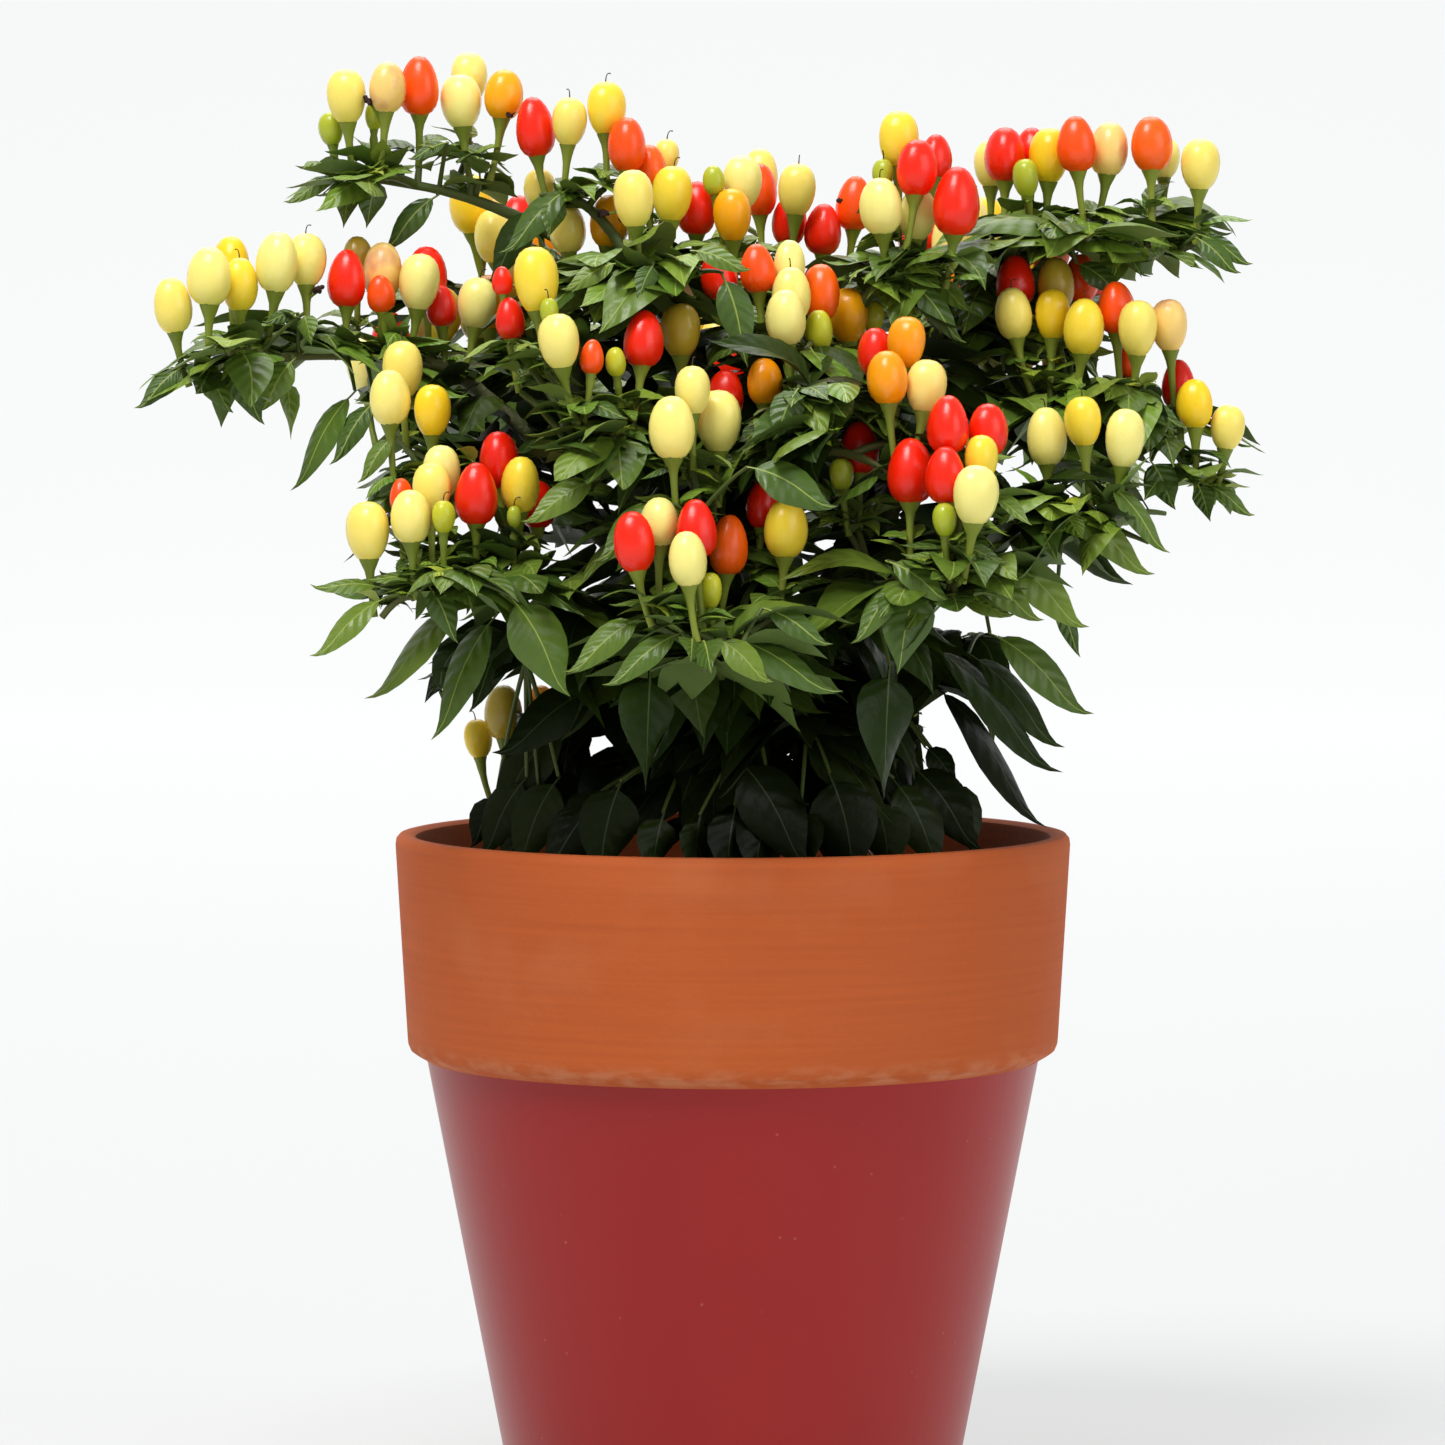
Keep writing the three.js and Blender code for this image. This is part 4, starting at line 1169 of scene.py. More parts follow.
# The dried flowers that the picture shows, by column and row
DRIED_FLOWERS = ((318, 291), (370, 102), (509, 116), (603, 214), (624, 221), (842, 203), (646, 543))


@dataclass(frozen=True)
class Window:
    """A place where the sky shows between the leaves: its middle and half its size, in pixels."""

    across: float
    down: float
    half_wide: float
    half_high: float


WINDOWS = (
    Window(473, 239, 38, 48),
    Window(190, 420, 22, 24),
    Window(275, 448, 22, 20),
    Window(957, 745, 30, 50),
    Window(980, 800, 26, 36),
    Window(1184, 522, 44, 32),
    Window(1146, 548, 34, 26),
    Window(1055, 668, 34, 40),
    Window(321, 388, 30, 30),
    Window(366, 443, 20, 33),
    Window(395, 652, 27, 38),
    Window(1025, 786, 22, 31),
    Window(170, 320, 18, 40),
    Window(418, 197, 32, 22),
    Window(465, 707, 17, 31),
    Window(495, 722, 20, 28),
    Window(307, 443, 16, 30),
    Window(482, 774, 21, 22),
    Window(531, 690, 18, 20),
    Window(985, 160, 13, 28),
    Window(984, 620, 30, 10),
    Window(600, 745, 9, 12),
    Window(672, 795, 8, 14),
    Window(781, 745, 10, 15),
)


@dataclass
class Leaf:
    """One leaf: where it leaves its twig, its heading and how it bends."""

    root: Point
    way: Point
    length: float
    lift: float
    droop: float
    roll: float
    width: float = 0.42
    fold: float = 0.2
    veer: float = 0.0
    wave: float = 0.0
    flick: float = 0.0


@dataclass
class Plan:
    """What one mass grows: its stem, twigs, spurs, peppers and leaves, with their sizes."""

    mass: Mass
    stem: Arc
    twigs: list[Arc]
    spurs: list[Arc]
    fruits: list[Fruit]
    leaves: list[Leaf]
    young: list[Leaf]


# A mass whose leaves bend at least this far round hangs as a skirt
HANGS_FROM = 1.4


@dataclass(frozen=True)
class Rule:
    """The seeded rule by which every mass branches, the same as the solids' own."""

    twig_shares: tuple[float, ...] = (0.72, 0.42)
    twig_turn: Pair = (0.75, 1.05)
    twig_rise: Pair = (1, 4)
    twig_arch: float = 1.5
    twig_length_share: float = 0.36
    twig_reach: Pair = (12, 24)
    short_stem: float = 42
    pedicel: float = 14
    fruit_length: float = 15.5
    fruit_width: float = 10.6
    bud_scale: float = 0.6
    fruit_spread: Pair = (4.2, 6.2)
    tip_fruit_reach: float = 4
    innermost_fruit: float = 0.1
    leaf_tries: int = 4
    leaf_share: float = 0.86
    spur_leaves: int = 6
    rosette: int = 5
    clump: float = 9
    fine_step: float = 5
    far: float = 130
    view: View = field(default_factory=View)

    def plan(self, mass: Mass, index: int, limbs: Limbs) -> Plan:
        """Plans one mass by its own stream of numbers.

        Args:
            mass: The mass's sizes.
            index: Its place in the table, which seeds the stream.
            limbs: The limbs that the stems leave.

        Returns:
            Where its stem, twigs, peppers and leaves go.
        """
        stream = Stream(7919 * (index + 1))
        tip = np.array(mass.tip, float)
        start = limbs.arcs[mass.limb].point(mass.at)
        stem = Arc.bowed(start, tip, mass.arch)
        length = stem.length()
        heading = unit((tip - start) * [1, 1, 0])
        aside = np.array([-heading[1], heading[0], 0.0])
        shares = self.twig_shares if length > self.short_stem else self.twig_shares[:1]
        twigs = []
        for i, share in enumerate(shares):
            foot = stem.point(share)
            turn = (-1 if i % 2 else 1) * stream.between(*self.twig_turn)
            reach = min(max(length * self.twig_length_share, self.twig_reach[0]), self.twig_reach[1])
            reach *= stream.between(0.85, 1.1)
            way = turned(heading, turn)
            end = foot + way * reach + UP * stream.between(*self.twig_rise)
            twigs.append((Arc.bowed(foot, end, self.twig_arch), way))
        fruits = []
        for i, letter in enumerate(mass.letters):
            share = max(self.innermost_fruit, 1 - i * mass.pitch / length)
            foot = stem.point(share)
            bud = letter.islower()
            scale = (self.bud_scale if bud else 1) * stream.between(0.9, 1.1)
            lean = aside * (1 if i % 2 else -1) * stream.between(*self.fruit_spread)
            lean = lean + heading * (stream.between(-1, 2) + (self.tip_fruit_reach if i == 0 else 0))
            rise = self.pedicel * (0.9 if bud else 1) * stream.between(0.85, 1.15)
            centre = foot + lean + UP * (rise + self.fruit_length * scale / 2)
            fruits.append(Fruit(foot, centre, scale, Ripeness(letter.lower())))
        leaves = self.leaves(mass, stem, heading, twigs, stream)
        plan = Plan(mass, stem, [arc for arc, _ in twigs], [], fruits, leaves, [])
        if mass.seen:
            plan.fruits = [self.seen_fruit(plan, seen, stream) for seen in mass.seen]
            self.gather(plan.fruits)
        self.add_spurs(plan, stream)
        self.finer(plan, stream)
        return plan

    def leaves(
        self, mass: Mass, stem: Arc, heading: Point, twigs: list[tuple[Arc, Point]], stream: Stream
    ) -> list[Leaf]:
        """Deals the leaves of a mass round its stem and twigs, from the tips inwards.

        Args:
            mass: The mass's sizes.
            stem: Its stem.
            heading: The way that the stem goes, seen from above.
            twigs: Its twigs, each with its way.
            stream: The stream of numbers.

        Returns:
            The leaves in the order that they are tried.
        """
        leaves: list[Leaf] = []

        def grow(arc: Arc, share: float, way: Point, turn: float, size: float) -> None:
            """Adds one leaf at a share of an arc."""
            length = mass.leaf * size * stream.between(0.88, 1.12)
            outward = turned(way, turn + stream.between(-0.2, 0.2))
            lift = stream.between(-0.25, 0.35)
            droop = mass.hang + stream.between(-0.3, 0.3)
            roll = stream.between(-0.35, 0.35)
            leaves.append(Leaf(arc.point(share), outward, length, lift, droop, roll))

        for turn in range(self.leaf_tries):
            inward = 0.24 * turn
            tilt = 0.5 * (turn % 2)
            grow(stem, 1 - inward * 0.5, heading, 0.15 - tilt, 0.66)
            grow(stem, 0.97 - inward * 0.5, heading, 1.1 + tilt, 0.85)
            grow(stem, 0.94 - inward * 0.5, heading, -1.1 - tilt, 0.85)
            for arc, way in twigs:
                grow(arc, 1 - inward * 0.8, way, 0.55 + tilt, 0.95)
                grow(arc, 0.92 - inward * 0.8, way, -0.7 - tilt, 0.95)
            grow(stem, 0.6 - inward * 0.5, heading, 1.9 - tilt, 1.1)
            grow(stem, 0.5 - inward * 0.5, heading, -1.9 + tilt, 1.1)
        for leaf in leaves:
            leaf.length *= self.leaf_share
            leaf.lift += stream.between(-0.1, 0.6)
            leaf.roll *= 1.5
            leaf.droop *= stream.between(0.45, 1.0)
            self.shape(leaf, stream)
        return leaves

    @staticmethod
    def shape(leaf: Leaf, stream: Stream) -> Leaf:
        """Gives a leaf its own breadth, fold, veer, ripple and lifted tip, and returns it."""
        leaf.width = stream.between(0.4, 0.54)
        leaf.fold = stream.between(-0.4, 0.3)
        leaf.veer = stream.between(-0.6, 0.6)
        leaf.wave = stream.next()
        leaf.flick = 1.2 * (leaf.wave * 5 % 1)
        return leaf

    @classmethod
    def sprout(
        cls, stream: Stream, root: Point, way: Point, size: float, lift: Pair, droop: Pair, roll: float
    ) -> Leaf:
        """Grows a leaf of a size, with its lift, droop and roll drawn between limits."""
        lifted, drooping = stream.between(*lift), stream.between(*droop)
        leaf = Leaf(root, way, size, lifted, drooping, stream.between(-roll, roll))
        return cls.shape(leaf, stream)

    def finer(self, plan: Plan, stream: Stream) -> None:
        """Sets more leaves all along a mass's wood, between those of the rule.

        Args:
            plan: The mass's plan, which gets the leaves.
            stream: The stream of numbers.
        """
        hanging = plan.mass.hang > HANGS_FROM
        for arc in [plan.stem, *plan.twigs]:
            length = arc.length()
            for k in range(int(length / self.fine_step)):
                share = min(1.0, (k + stream.between(0.3, 1.0)) * self.fine_step / length)
                root = arc.point(share)
                inner = max(0.0, 1 - float(np.hypot(root[0], root[1])) / self.far)
                if not hanging and stream.next() > 0.45 + inner:
                    continue
                way = turned(EAST, stream.turn())
                size = stream.between(24, 38) if hanging else stream.between(14, 22) + 10 * inner
                plan.leaves.append(self.sprout(stream, root, way, size, (-0.5, 0.8), (0.3, 1.3), 0.5))
            tip = arc.point(1.0)
            turn = stream.turn()
            for k in range(self.rosette):
                way = turned(EAST, turn + k * 2.4)
                leaf = self.sprout(stream, tip, way, stream.between(5, 10), (0.5, 1.3), (0.3, 0.9), 0.3)
                plan.young.append(leaf)

    def seen_fruit(self, plan: Plan, seen: Seen, stream: Stream) -> Fruit:
        """Stands a pepper that the picture shows over its mass's stem.

        Args:
            plan: The mass's plan so far.
            seen: Where the picture shows the pepper.
            stream: The stream of numbers.

        Returns:
            The pepper, with its foot under it.
        """
        shares = np.linspace(0.02, 1, 50)
        columns = [self.view.across(plan.stem.point(float(s))) for s in shares]
        nearest = int(np.argmin([abs(column - seen.across) for column in columns]))
        depth = float(plan.stem.point(float(shares[nearest]))[1]) + seen.back + stream.between(-2.0, 2.0)
        bud = seen.letter.islower()
        scale = seen.size * (self.bud_scale if bud else 1)
        centre = self.view.place(seen.across, seen.down, depth)
        below = self.pedicel * (0.75 if bud else 0.9) + self.fruit_length * scale / 2
        towards = unit((plan.stem.point(float(shares[nearest])) - centre) * [1, 1, 0] + 1e-6)
        lean = stream.between(1.0, 3.0)
        foot = centre - UP * below + towards * lean
        return Fruit(foot, centre, scale, Ripeness(seen.letter.lower()))

    def gather(self, fruits: list[Fruit]) -> None:
        """Lets peppers that stand close together share one knot of the shoot."""
        for one, other in zip(fruits, fruits[1:], strict=False):
            if float(np.linalg.norm(one.foot - other.foot)) < self.clump:
                knot = one.foot * 0.5 + other.foot * 0.5
                knot[2] = min(one.foot[2], other.foot[2])
                one.foot = one.foot * 0.3 + knot * 0.7
                other.foot = other.foot * 0.3 + knot * 0.7

    def add_spurs(self, plan: Plan, stream: Stream) -> None:
        """Joins each pepper's foot to the nearest wood by a spur and sets small leaves round it.

        Args:
            plan: The mass's plan, which gets the spurs and the leaves.
            stream: The stream of numbers.
        """
        wood = [plan.stem, *plan.twigs]
        for fruit in plan.fruits:
            best = None
            for arc in wood:
                for share in np.linspace(0.05, 1, 24):
                    at = arc.point(float(share))
                    gap = float(np.linalg.norm(at - fruit.foot)) + max(0.0, at[2] - fruit.foot[2]) * 1.5
                    if best is None or gap < best[0]:
                        best = (gap, at)
            if best[0] > 1.6:
                plan.spurs.append(Arc.bowed(best[1], fruit.foot, min(2.0, best[0] * 0.08)))
            else:
                fruit.foot = best[1]
            out = unit((fruit.foot - best[1]) * [1, 1, 0] + 1e-6)
            turn = stream.turn()
            for k in range(self.spur_leaves):
                way = turned(out, turn + k * 2.3)
                size = stream.between(9, 17)
                root = fruit.foot + (fruit.centre - fruit.foot) * stream.between(0.0, 0.26)
                leaf = self.sprout(stream, root, way, size, (0.0, 1.3), (0.2, 1.2), 0.5)
                young = k == 2 and size < 13
                (plan.young if young else plan.leaves).append(leaf)


@dataclass(frozen=True)
class Blade:
    """Lays out leaves: each blade is closed, with a raised rib, a rounded base and a drawn-out tip."""

    stations: tuple[float, ...]
    stalk: float = 0.1
    rib: float = 0.26
    thick: float = 0.4
    corners: int = 7
    swell: float = 0.6
    taper: float = 1.4

    @classmethod
    def cut(cls, *shares: float) -> "Blade":
        """Returns a blade with rings at the given shares of its length past the stalk."""
        return cls((0.0, cls.stalk, *(cls.stalk + (1 - cls.stalk) * share for share in shares), 1.0))

    def half(self, share: Point) -> Point:
        """Returns the outline's half width, as a share of the widest, at shares of the length."""
        blade = np.clip((share - self.stalk) / (1 - self.stalk), 0, 1)
        peak = self.swell / (self.swell + self.taper)
        wide = blade ** self.swell * (1 - blade) ** self.taper
        return np.maximum(wide / (peak ** self.swell * (1 - peak) ** self.taper), 0.06 * (share < 0.5))

    def faces(self) -> tuple[Faces, list[int]]:
        """Lays out the faces that every blade has.

        Returns:
            The faces, and for each its part: 0 the top, 1 the rib and 2 the underside.
        """
        faces: Faces = [(5, 4, 3, 2, 1, 0, 6)]
        parts = [2]
        last = len(self.stations) - 2
        tip = (last + 1) * self.corners
        for i in range(last + 1):
            ring = list(range(i * self.corners, (i + 1) * self.corners))
            top, under = ring[:6][::-1], ring[6]
            for near, far in zip(top, top[1:], strict=False):
                step = self.corners
                faces.append((near, near + step, far + step, far) if i < last else (near, tip, far))
            if i < last:
                faces += [
                    (top[0], under, under + step, top[0] + step),
                    (under, top[5], top[5] + step, under + step),
                ]
            else:
                faces += [(top[0], under, tip), (under, top[5], tip)]
            parts += [0, 0, 1, 0, 0, 2, 2]
        return faces, parts

    def marks(self) -> Point:
        """Returns where each corner lies on the leaf map: across the blade, and along it."""
        across = [-1.0, -0.52, -0.03, 0.03, 0.52, 1.0, 0.0]
        rows = [(side, share) for share in self.stations[:-1] for side in across]
        return np.array([*rows, (0.0, 1.0)])

    @staticmethod
    def line(leaf: Leaf, shares: Point) -> tuple[Point, Point]:
        """Follows the middle of a leaf as it bends down, veers and lifts its tip again.

        Args:
            leaf: The leaf.
            shares: Shares of its length.

        Returns:
            The points and the ways along at those shares.
        """
        fine = np.linspace(0, 1, 33)
        lifted = np.clip((fine - 0.6) / 0.4, 0, 1) ** 2
        slopes = leaf.lift - (leaf.lift + leaf.droop) * fine + leaf.flick * lifted
        steps = (slopes[1:] + slopes[:-1]) / 2
        forward = np.interp(shares, fine, np.append(0, np.cumsum(np.cos(steps)))) * leaf.length / len(steps)
        rise = np.interp(shares, fine, np.append(0, np.cumsum(np.sin(steps)))) * leaf.length / len(steps)
        points, ways = [], []
        for f, r, s, angle in zip(forward, rise, shares, np.interp(shares, fine, slopes), strict=True):
            points.append(leaf.root + turned(leaf.way, leaf.veer * s / 2) * f + UP * r)
            ways.append(turned(leaf.way, leaf.veer * s) * math.cos(angle) + UP * math.sin(angle))
        return np.array(points), np.array(ways)

    def points(self, leaf: Leaf) -> Point:
        """Places the corners of one blade."""
        shares = np.array(self.stations)
        middles, ways = self.line(leaf, shares)
        half = self.half(shares) * leaf.width * leaf.length / 2
        thick = min(self.thick, leaf.length * 0.016)
        rib = min(self.rib, leaf.length * 0.014)
        corners = []
        for i, (middle, way) in enumerate(zip(middles, ways, strict=True)):
            if i == len(middles) - 1:
                corners.append(middle)
                break
            level = np.cross(way, UP)
            across = unit(level if np.linalg.norm(level) > 1e-3 else np.cross(leaf.way, UP))
            across = rolled(across, way, leaf.roll * (0.4 + self.stations[i]))
            face = np.cross(across, way)
            wide = max(half[i], rib * 1.2)
            ripple = math.sin(self.stations[i] * 9 + leaf.wave * 6) * 0.1 * wide * (1 if i > 1 else 0)
            other = math.sin(self.stations[i] * 8 + leaf.wave * 9) * 0.1 * wide * (1 if i > 1 else 0)
            drop = leaf.fold * wide
            bulge = 0.09 * wide
            taper = 1 - 0.6 * self.stations[i]
            corners += [
                middle - across * wide - face * (drop - ripple),
                middle - across * wide * 0.52 - face * (drop * 0.42 - bulge - ripple * 0.4),
                middle - across * rib * taper + face * thick * 0.5,
                middle + across * rib * taper + face * thick * 0.5,
                middle + across * wide * 0.52 - face * (drop * 0.42 - bulge - other * 0.4),
                middle + across * wide - face * (drop - other),
                middle - face * thick * 0.5,
            ]
        return np.array(corners)


@dataclass(frozen=True)
class LeafSort:
    """A sort of leaf with its tones, which are dealt out by spray, and its rib and underside."""

    name: str
    tones: tuple[Triple, ...]
    rib: Triple
    under: Triple
    rough: Pair = (0.28, 0.42)
    shine: float = 0.37
    quilt: float = 0.0002

    def finishes(self) -> list[bpy.types.Material]:
        """Returns the tones, then the rib, then the underside."""
        made: list[Skin] = [
            LeafSkin(f"{self.name}_tone_{i}", tone, self.rough, (420, 0.0002), shine=self.shine,
                     quilt=self.quilt)
            for i, tone in enumerate(self.tones)
        ]
        made.append(Skin(f"{self.name}_rib", self.rib, (0.4, 0.5)))
        made.append(Skin(f"{self.name}_underside", self.under, (0.55, 0.65), (600, 0.0002)))
        return [finish.material() for finish in made]


@dataclass
class Foliage:
    """All masses: their shoots, leaves, peppers and stalks, joined by kind."""

    limbs: Limbs
    pot: Pot
    rule: Rule = field(default_factory=Rule)
    wood: Point | None = None
    seen_bend: float = 0.9
    seen_flick: float = 1.3
    clear_depth: float = 30.0
    twig_clear: float = 14.0
    twig_touch: float = 4.0
    cut_reach: float = 0.6
    stem_radii: Pair = (1.8, 0.9)
    stem_end: Triple = (0.8, 0.6, 0.4)
    twig_radii: Pair = (1.25, 0.6)
    spur_radii: Pair = (1.0, 0.85)
    leaf_stalk_radii: Pair = (0.65, 0.45)
    seen_widths: Pair = (0.34, 0.6)
    settle_rounds: int = 14
    leaf_clear: float = 0.25
    tries: int = 5
    retry_share: float = 0.92
    pod_sides: int = 12
    pod_widths: Pair = (0.93, 1.0)
    pod_lengths: Pair = (0.88, 1.0)
    common_share: float = 0.6
    thread_share: float = 0.22
    bough_step: float = 3.2
    large: Blade = Blade.cut(0.04, 0.12, 0.22, 0.34, 0.47, 0.6, 0.72, 0.83, 0.92)
    small: Blade = Blade.cut(0.08, 0.24, 0.42, 0.6, 0.75, 0.89)
    large_from: float = 21.0
    pod_rings: int = 12
    pod_fullness: float = 0.86
    skirt_heights: tuple[float, ...] = (150, 175, 195, 210, 225, 240, 262)
    skirt_reach: tuple[float, ...] = (62, 70, 76, 86, 102, 132, 170)
    low_leaves: int = 230
    low_heights: Pair = (166, 230)
    core_leaves: int = 420
    core_foot: float = 214
    light_from: float = 296
    # Painted light: top and outer leaves past these limits take the lighter fresh sort by this share
    lit_above: float = 282
    lit_beyond: float = 76
    lit_share: float = 0.66
    core: Triple = (105, 62, 322)
    shaded_below: float = 212
    shaded: LeafSort = LeafSort("shaded_leaf", ((23, 33, 9), (29, 40, 11), (19, 28, 8)), (42, 56, 23),
                                (32, 44, 19), shine=0.1, quilt=0.0001)
    # Painted shade: old tones are darkened for the shade low in the crown and inside it, besides the leaves'
    # age
    old: LeafSort = LeafSort("old_leaf", ((38, 54, 13), (48, 63, 16), (32, 47, 12)), (64, 82, 34),
                             (52, 68, 30), shine=0.12, quilt=0.0001)
    grown: LeafSort = LeafSort("grown_leaf", ((80, 105, 34), (91, 115, 38), (68, 93, 32), (104, 127, 43)),
                               (136, 152, 68), (84, 105, 46))
    # Painted light: fresh tones are lighter for small young leaves and for top and outer leaves, as if more
    # lit
    fresh: LeafSort = LeafSort("fresh_leaf", ((110, 139, 43), (124, 149, 49), (98, 130, 41)),
                               (152, 168, 76), (104, 126, 56))
    young: LeafSort = LeafSort("young_leaf", ((150, 164, 44), (132, 154, 44)), (172, 182, 76),
                               (146, 160, 66))
    skins: dict[Ripeness, tuple[Triple, ...]] = field(default_factory=lambda: {
        Ripeness.GREEN: ((196, 196, 44), (176, 186, 48)),
        Ripeness.CREAM: ((252, 234, 126), (250, 227, 108), (248, 236, 136)),
        Ripeness.BLUSHED: ((250, 224, 122), (246, 206, 118)),
        Ripeness.YELLOW: ((254, 210, 34), (252, 218, 60)),
        Ripeness.AMBER: ((254, 156, 6), (252, 172, 12)),
        Ripeness.SCARLET: ((254, 80, 4), (254, 96, 6)),
        Ripeness.RED: ((246, 34, 3), (234, 28, 3)),
        # Painted shade: the darker cream of peppers in shade
        Ripeness.OLIVE: ((186, 160, 46), (172, 142, 40)),
    })

    def plans(self) -> list[Plan]:
        """Plans every mass and moves peppers that would meet apart."""
        plans = [self.rule.plan(mass, i, self.limbs) for i, mass in enumerate(MASSES)]
        fruits = [fruit for plan in plans for fruit in plan.fruits]
        self.settle(fruits)
        for plan in plans:
            self.clear_twigs(plan, fruits)
        self.wood = np.array([arc.point(float(share)) for arc in self.limbs.arcs.values() for share in
                              np.linspace(0.1, 1, 24)]
                             + [arc.point(float(share)) for plan in plans for arc in [plan.stem, *plan.twigs]
                                for share in np.linspace(0.1, 1, 24)])
        return plans

    def clear_twigs(self, plan: Plan, fruits: list[Fruit]) -> None:
        """Cuts a twig without spurs short of the first pepper that it meets or crosses close in front.

        Args:
            plan: The plan whose twigs are cut, with the leaves past the cut.
            fruits: All peppers.
        """
        view = self.rule.view
        centres = np.array([fruit.centre for fruit in fruits])
        wide = np.array([fruit.scale for fruit in fruits]) * self.rule.fruit_width / 2
        slim = [1, self.rule.fruit_width / self.rule.fruit_length]
        for i, twig in enumerate(plan.twigs):
            path = twig.path(21)
            off = (view.shown(path)[:, None] - view.shown(centres)) * view.distance / view.focal * slim
            ahead = centres[:, 1] - path[:, None, 1]
            met = (np.hypot(off[..., 0], off[..., 1]) < wide) & (ahead > -2) & (ahead < self.twig_clear)
            first = int(np.argmax(met.any(axis=1)))
            past = path[first:, None]
            starts = first == 0 and not (met[0] & (ahead[0] < self.twig_touch)).any()
            spurs = [np.linalg.norm(path[first:] - spur.start, axis=1).min() for spur in plan.spurs]
            if starts or min(spurs, default=math.inf) < 1:
                continue
            plan.twigs[i] = twig.cut(max(first - 1, 1) / 20)
            for leaves in (plan.leaves, plan.young):
                gaps = [np.linalg.norm(past - leaf.root, axis=2).min() for leaf in leaves]
                leaves[:] = [leaf for leaf, gap in zip(leaves, gaps, strict=True) if gap > self.cut_reach]

    def seen_leaf(self, seen: SeenLeaf) -> Leaf:
        """Bends a leaf so that the picture shows its root, its tip and its breadth where it should.

        Args:
            seen: The leaf in the picture.

        Returns:
            The leaf on the plant.
        """
        view = self.rule.view
        root = view.place(*seen.root, seen.depth)
        tip = view.place(*seen.tip, seen.depth - seen.nearer)
        chord = tip - root
        level = chord * [1, 1, 0]
        rise = math.atan2(chord[2], float(np.linalg.norm(level)))
        way = unit(level) if np.linalg.norm(level) > 1 else np.array([0.0, -1.0, 0.0])
        sideways = abs(float(chord[0])) / float(np.linalg.norm(chord))
        flick = self.seen_flick * min(1.0, sideways * 1.3)
        bend = self.seen_bend * (0.5 + sideways * 0.5)
        leaf = Leaf(root, way, 1.0, 0.0, bend, 0, 0.42, 0.12, flick=flick)
        bent = Blade.line(leaf, np.array([1.0]))[0][0] - root
        length = float(np.linalg.norm(chord) / np.linalg.norm(bent))
        leaf.length = length
        leaf.lift = rise - math.atan2(bent[2], float(np.linalg.norm(bent[:2])))
        leaf.droop -= leaf.lift
        shown = seen.wide * view.distance / view.focal
        leaf.width = float(np.clip(shown / length * 1.12, *self.seen_widths))
        turn = math.asin(min(1.0, shown / (leaf.width * length)))
        along = way * math.cos(rise) + UP * math.sin(rise)
        across = unit(np.cross(along, UP) + [1e-4, 0, 0])
        facing = [float(np.cross(rolled(across, along, angle), along)[1]) for angle in (turn, -turn)]
        leaf.roll = turn if facing[0] < facing[1] else -turn
        return leaf

    def seen_leaves(self) -> tuple[list[tuple[Leaf, bool]], list[Arc]]:
        """Places the leaves that the picture shows well, each on a stalk from the nearest wood.

        Returns:
            The leaves, each with whether it is an aged_and_shaded one, darker as painted shade, and the
            stalks.
        """
        leaves, stalks = [], []
        for seen in SEEN_LEAVES:
            leaf = self.seen_leaf(seen)
            gaps = np.linalg.norm(self.wood - leaf.root, axis=1)
            near = self.wood[int(np.argmin(gaps))]
            if gaps.min() > 0.8:
                stalks.append(Arc.bowed(near, leaf.root + leaf.way * 0.5, float(gaps.min()) * 0.06))
            leaves.append((leaf, seen.aged_and_shaded))
        return leaves, stalks

    def bough_leaves(self) -> list[Leaf]:
        """Sets leaves along the boughs and the trunk, which fill the inside of the crown."""
        stream = Stream(31337)
        leaves = []
        for name, arc in self.limbs.arcs.items():
            length = arc.length()
            low = 0.35 if name == "trunk" else 0.2
            for k in range(int(length * (1 - low) / self.bough_step)):
                share = min(1.0, low + (k + stream.next()) * self.bough_step / length)
                way = turned(EAST, stream.turn())
                size = stream.between(22, 36)
                leaves.append(Rule.sprout(stream, arc.point(share), way, size, (-0.4, 0.8), (0.4, 1.4), 0.5))
        low = self.wood[(self.wood[:, 2] > self.low_heights[0]) & (self.wood[:, 2] < self.low_heights[1])]
        for _ in range(self.low_leaves):
            root = low[stream.pick(len(low))]
            turn = math.atan2(root[1], root[0]) + stream.between(-1.2, 1.2)
            way = turned(EAST, turn)
            size = stream.between(28, 46)
            leaf = Rule.sprout(stream, root, way, size, (-0.7, 0.4), (0.9, 1.7), 0.6)
            leaf.width = stream.between(0.46, 0.6)
            leaves.append(leaf)
        wood = self.wood
        inner = (abs(wood) < self.core).all(axis=1)
        core = wood[inner & (wood[:, 2] > self.core_foot)]
        for _ in range(self.core_leaves):
            way = turned(EAST, stream.turn())
            root = core[stream.pick(len(core))]
            size = stream.between(20, 36)
            leaves.append(Rule.sprout(stream, root, way, size, (-0.7, 1.1), (0.2, 1.3), 0.6))
        return leaves

    def settle(self, fruits: list[Fruit]) -> None:
        """Pushes peppers that would meet apart, mostly front to back, a little at a time."""
        rule = self.rule
        for _ in range(self.settle_rounds):
            for i, one in enumerate(fruits):
                for other in fruits[i + 1:]:
                    apart = other.centre - one.centre
                    room = (one.scale + other.scale) * rule.fruit_width / 2 + 0.3
                    if abs(apart[0]) > room or abs(apart[1]) > room:
                        continue
                    apart[2] *= rule.fruit_width / rule.fruit_length
                    gap = room - float(np.linalg.norm(apart))
                    if gap <= 0:
                        continue
                    push = np.array([apart[0] * 0.35, apart[1] if abs(apart[1]) > 0.2 else 0.2, 0.0])
                    push = unit(push) * gap * 0.55
                    other.centre = other.centre + push
                    other.foot = other.foot + push
                    one.centre = one.centre - push
                    one.foot = one.foot - push

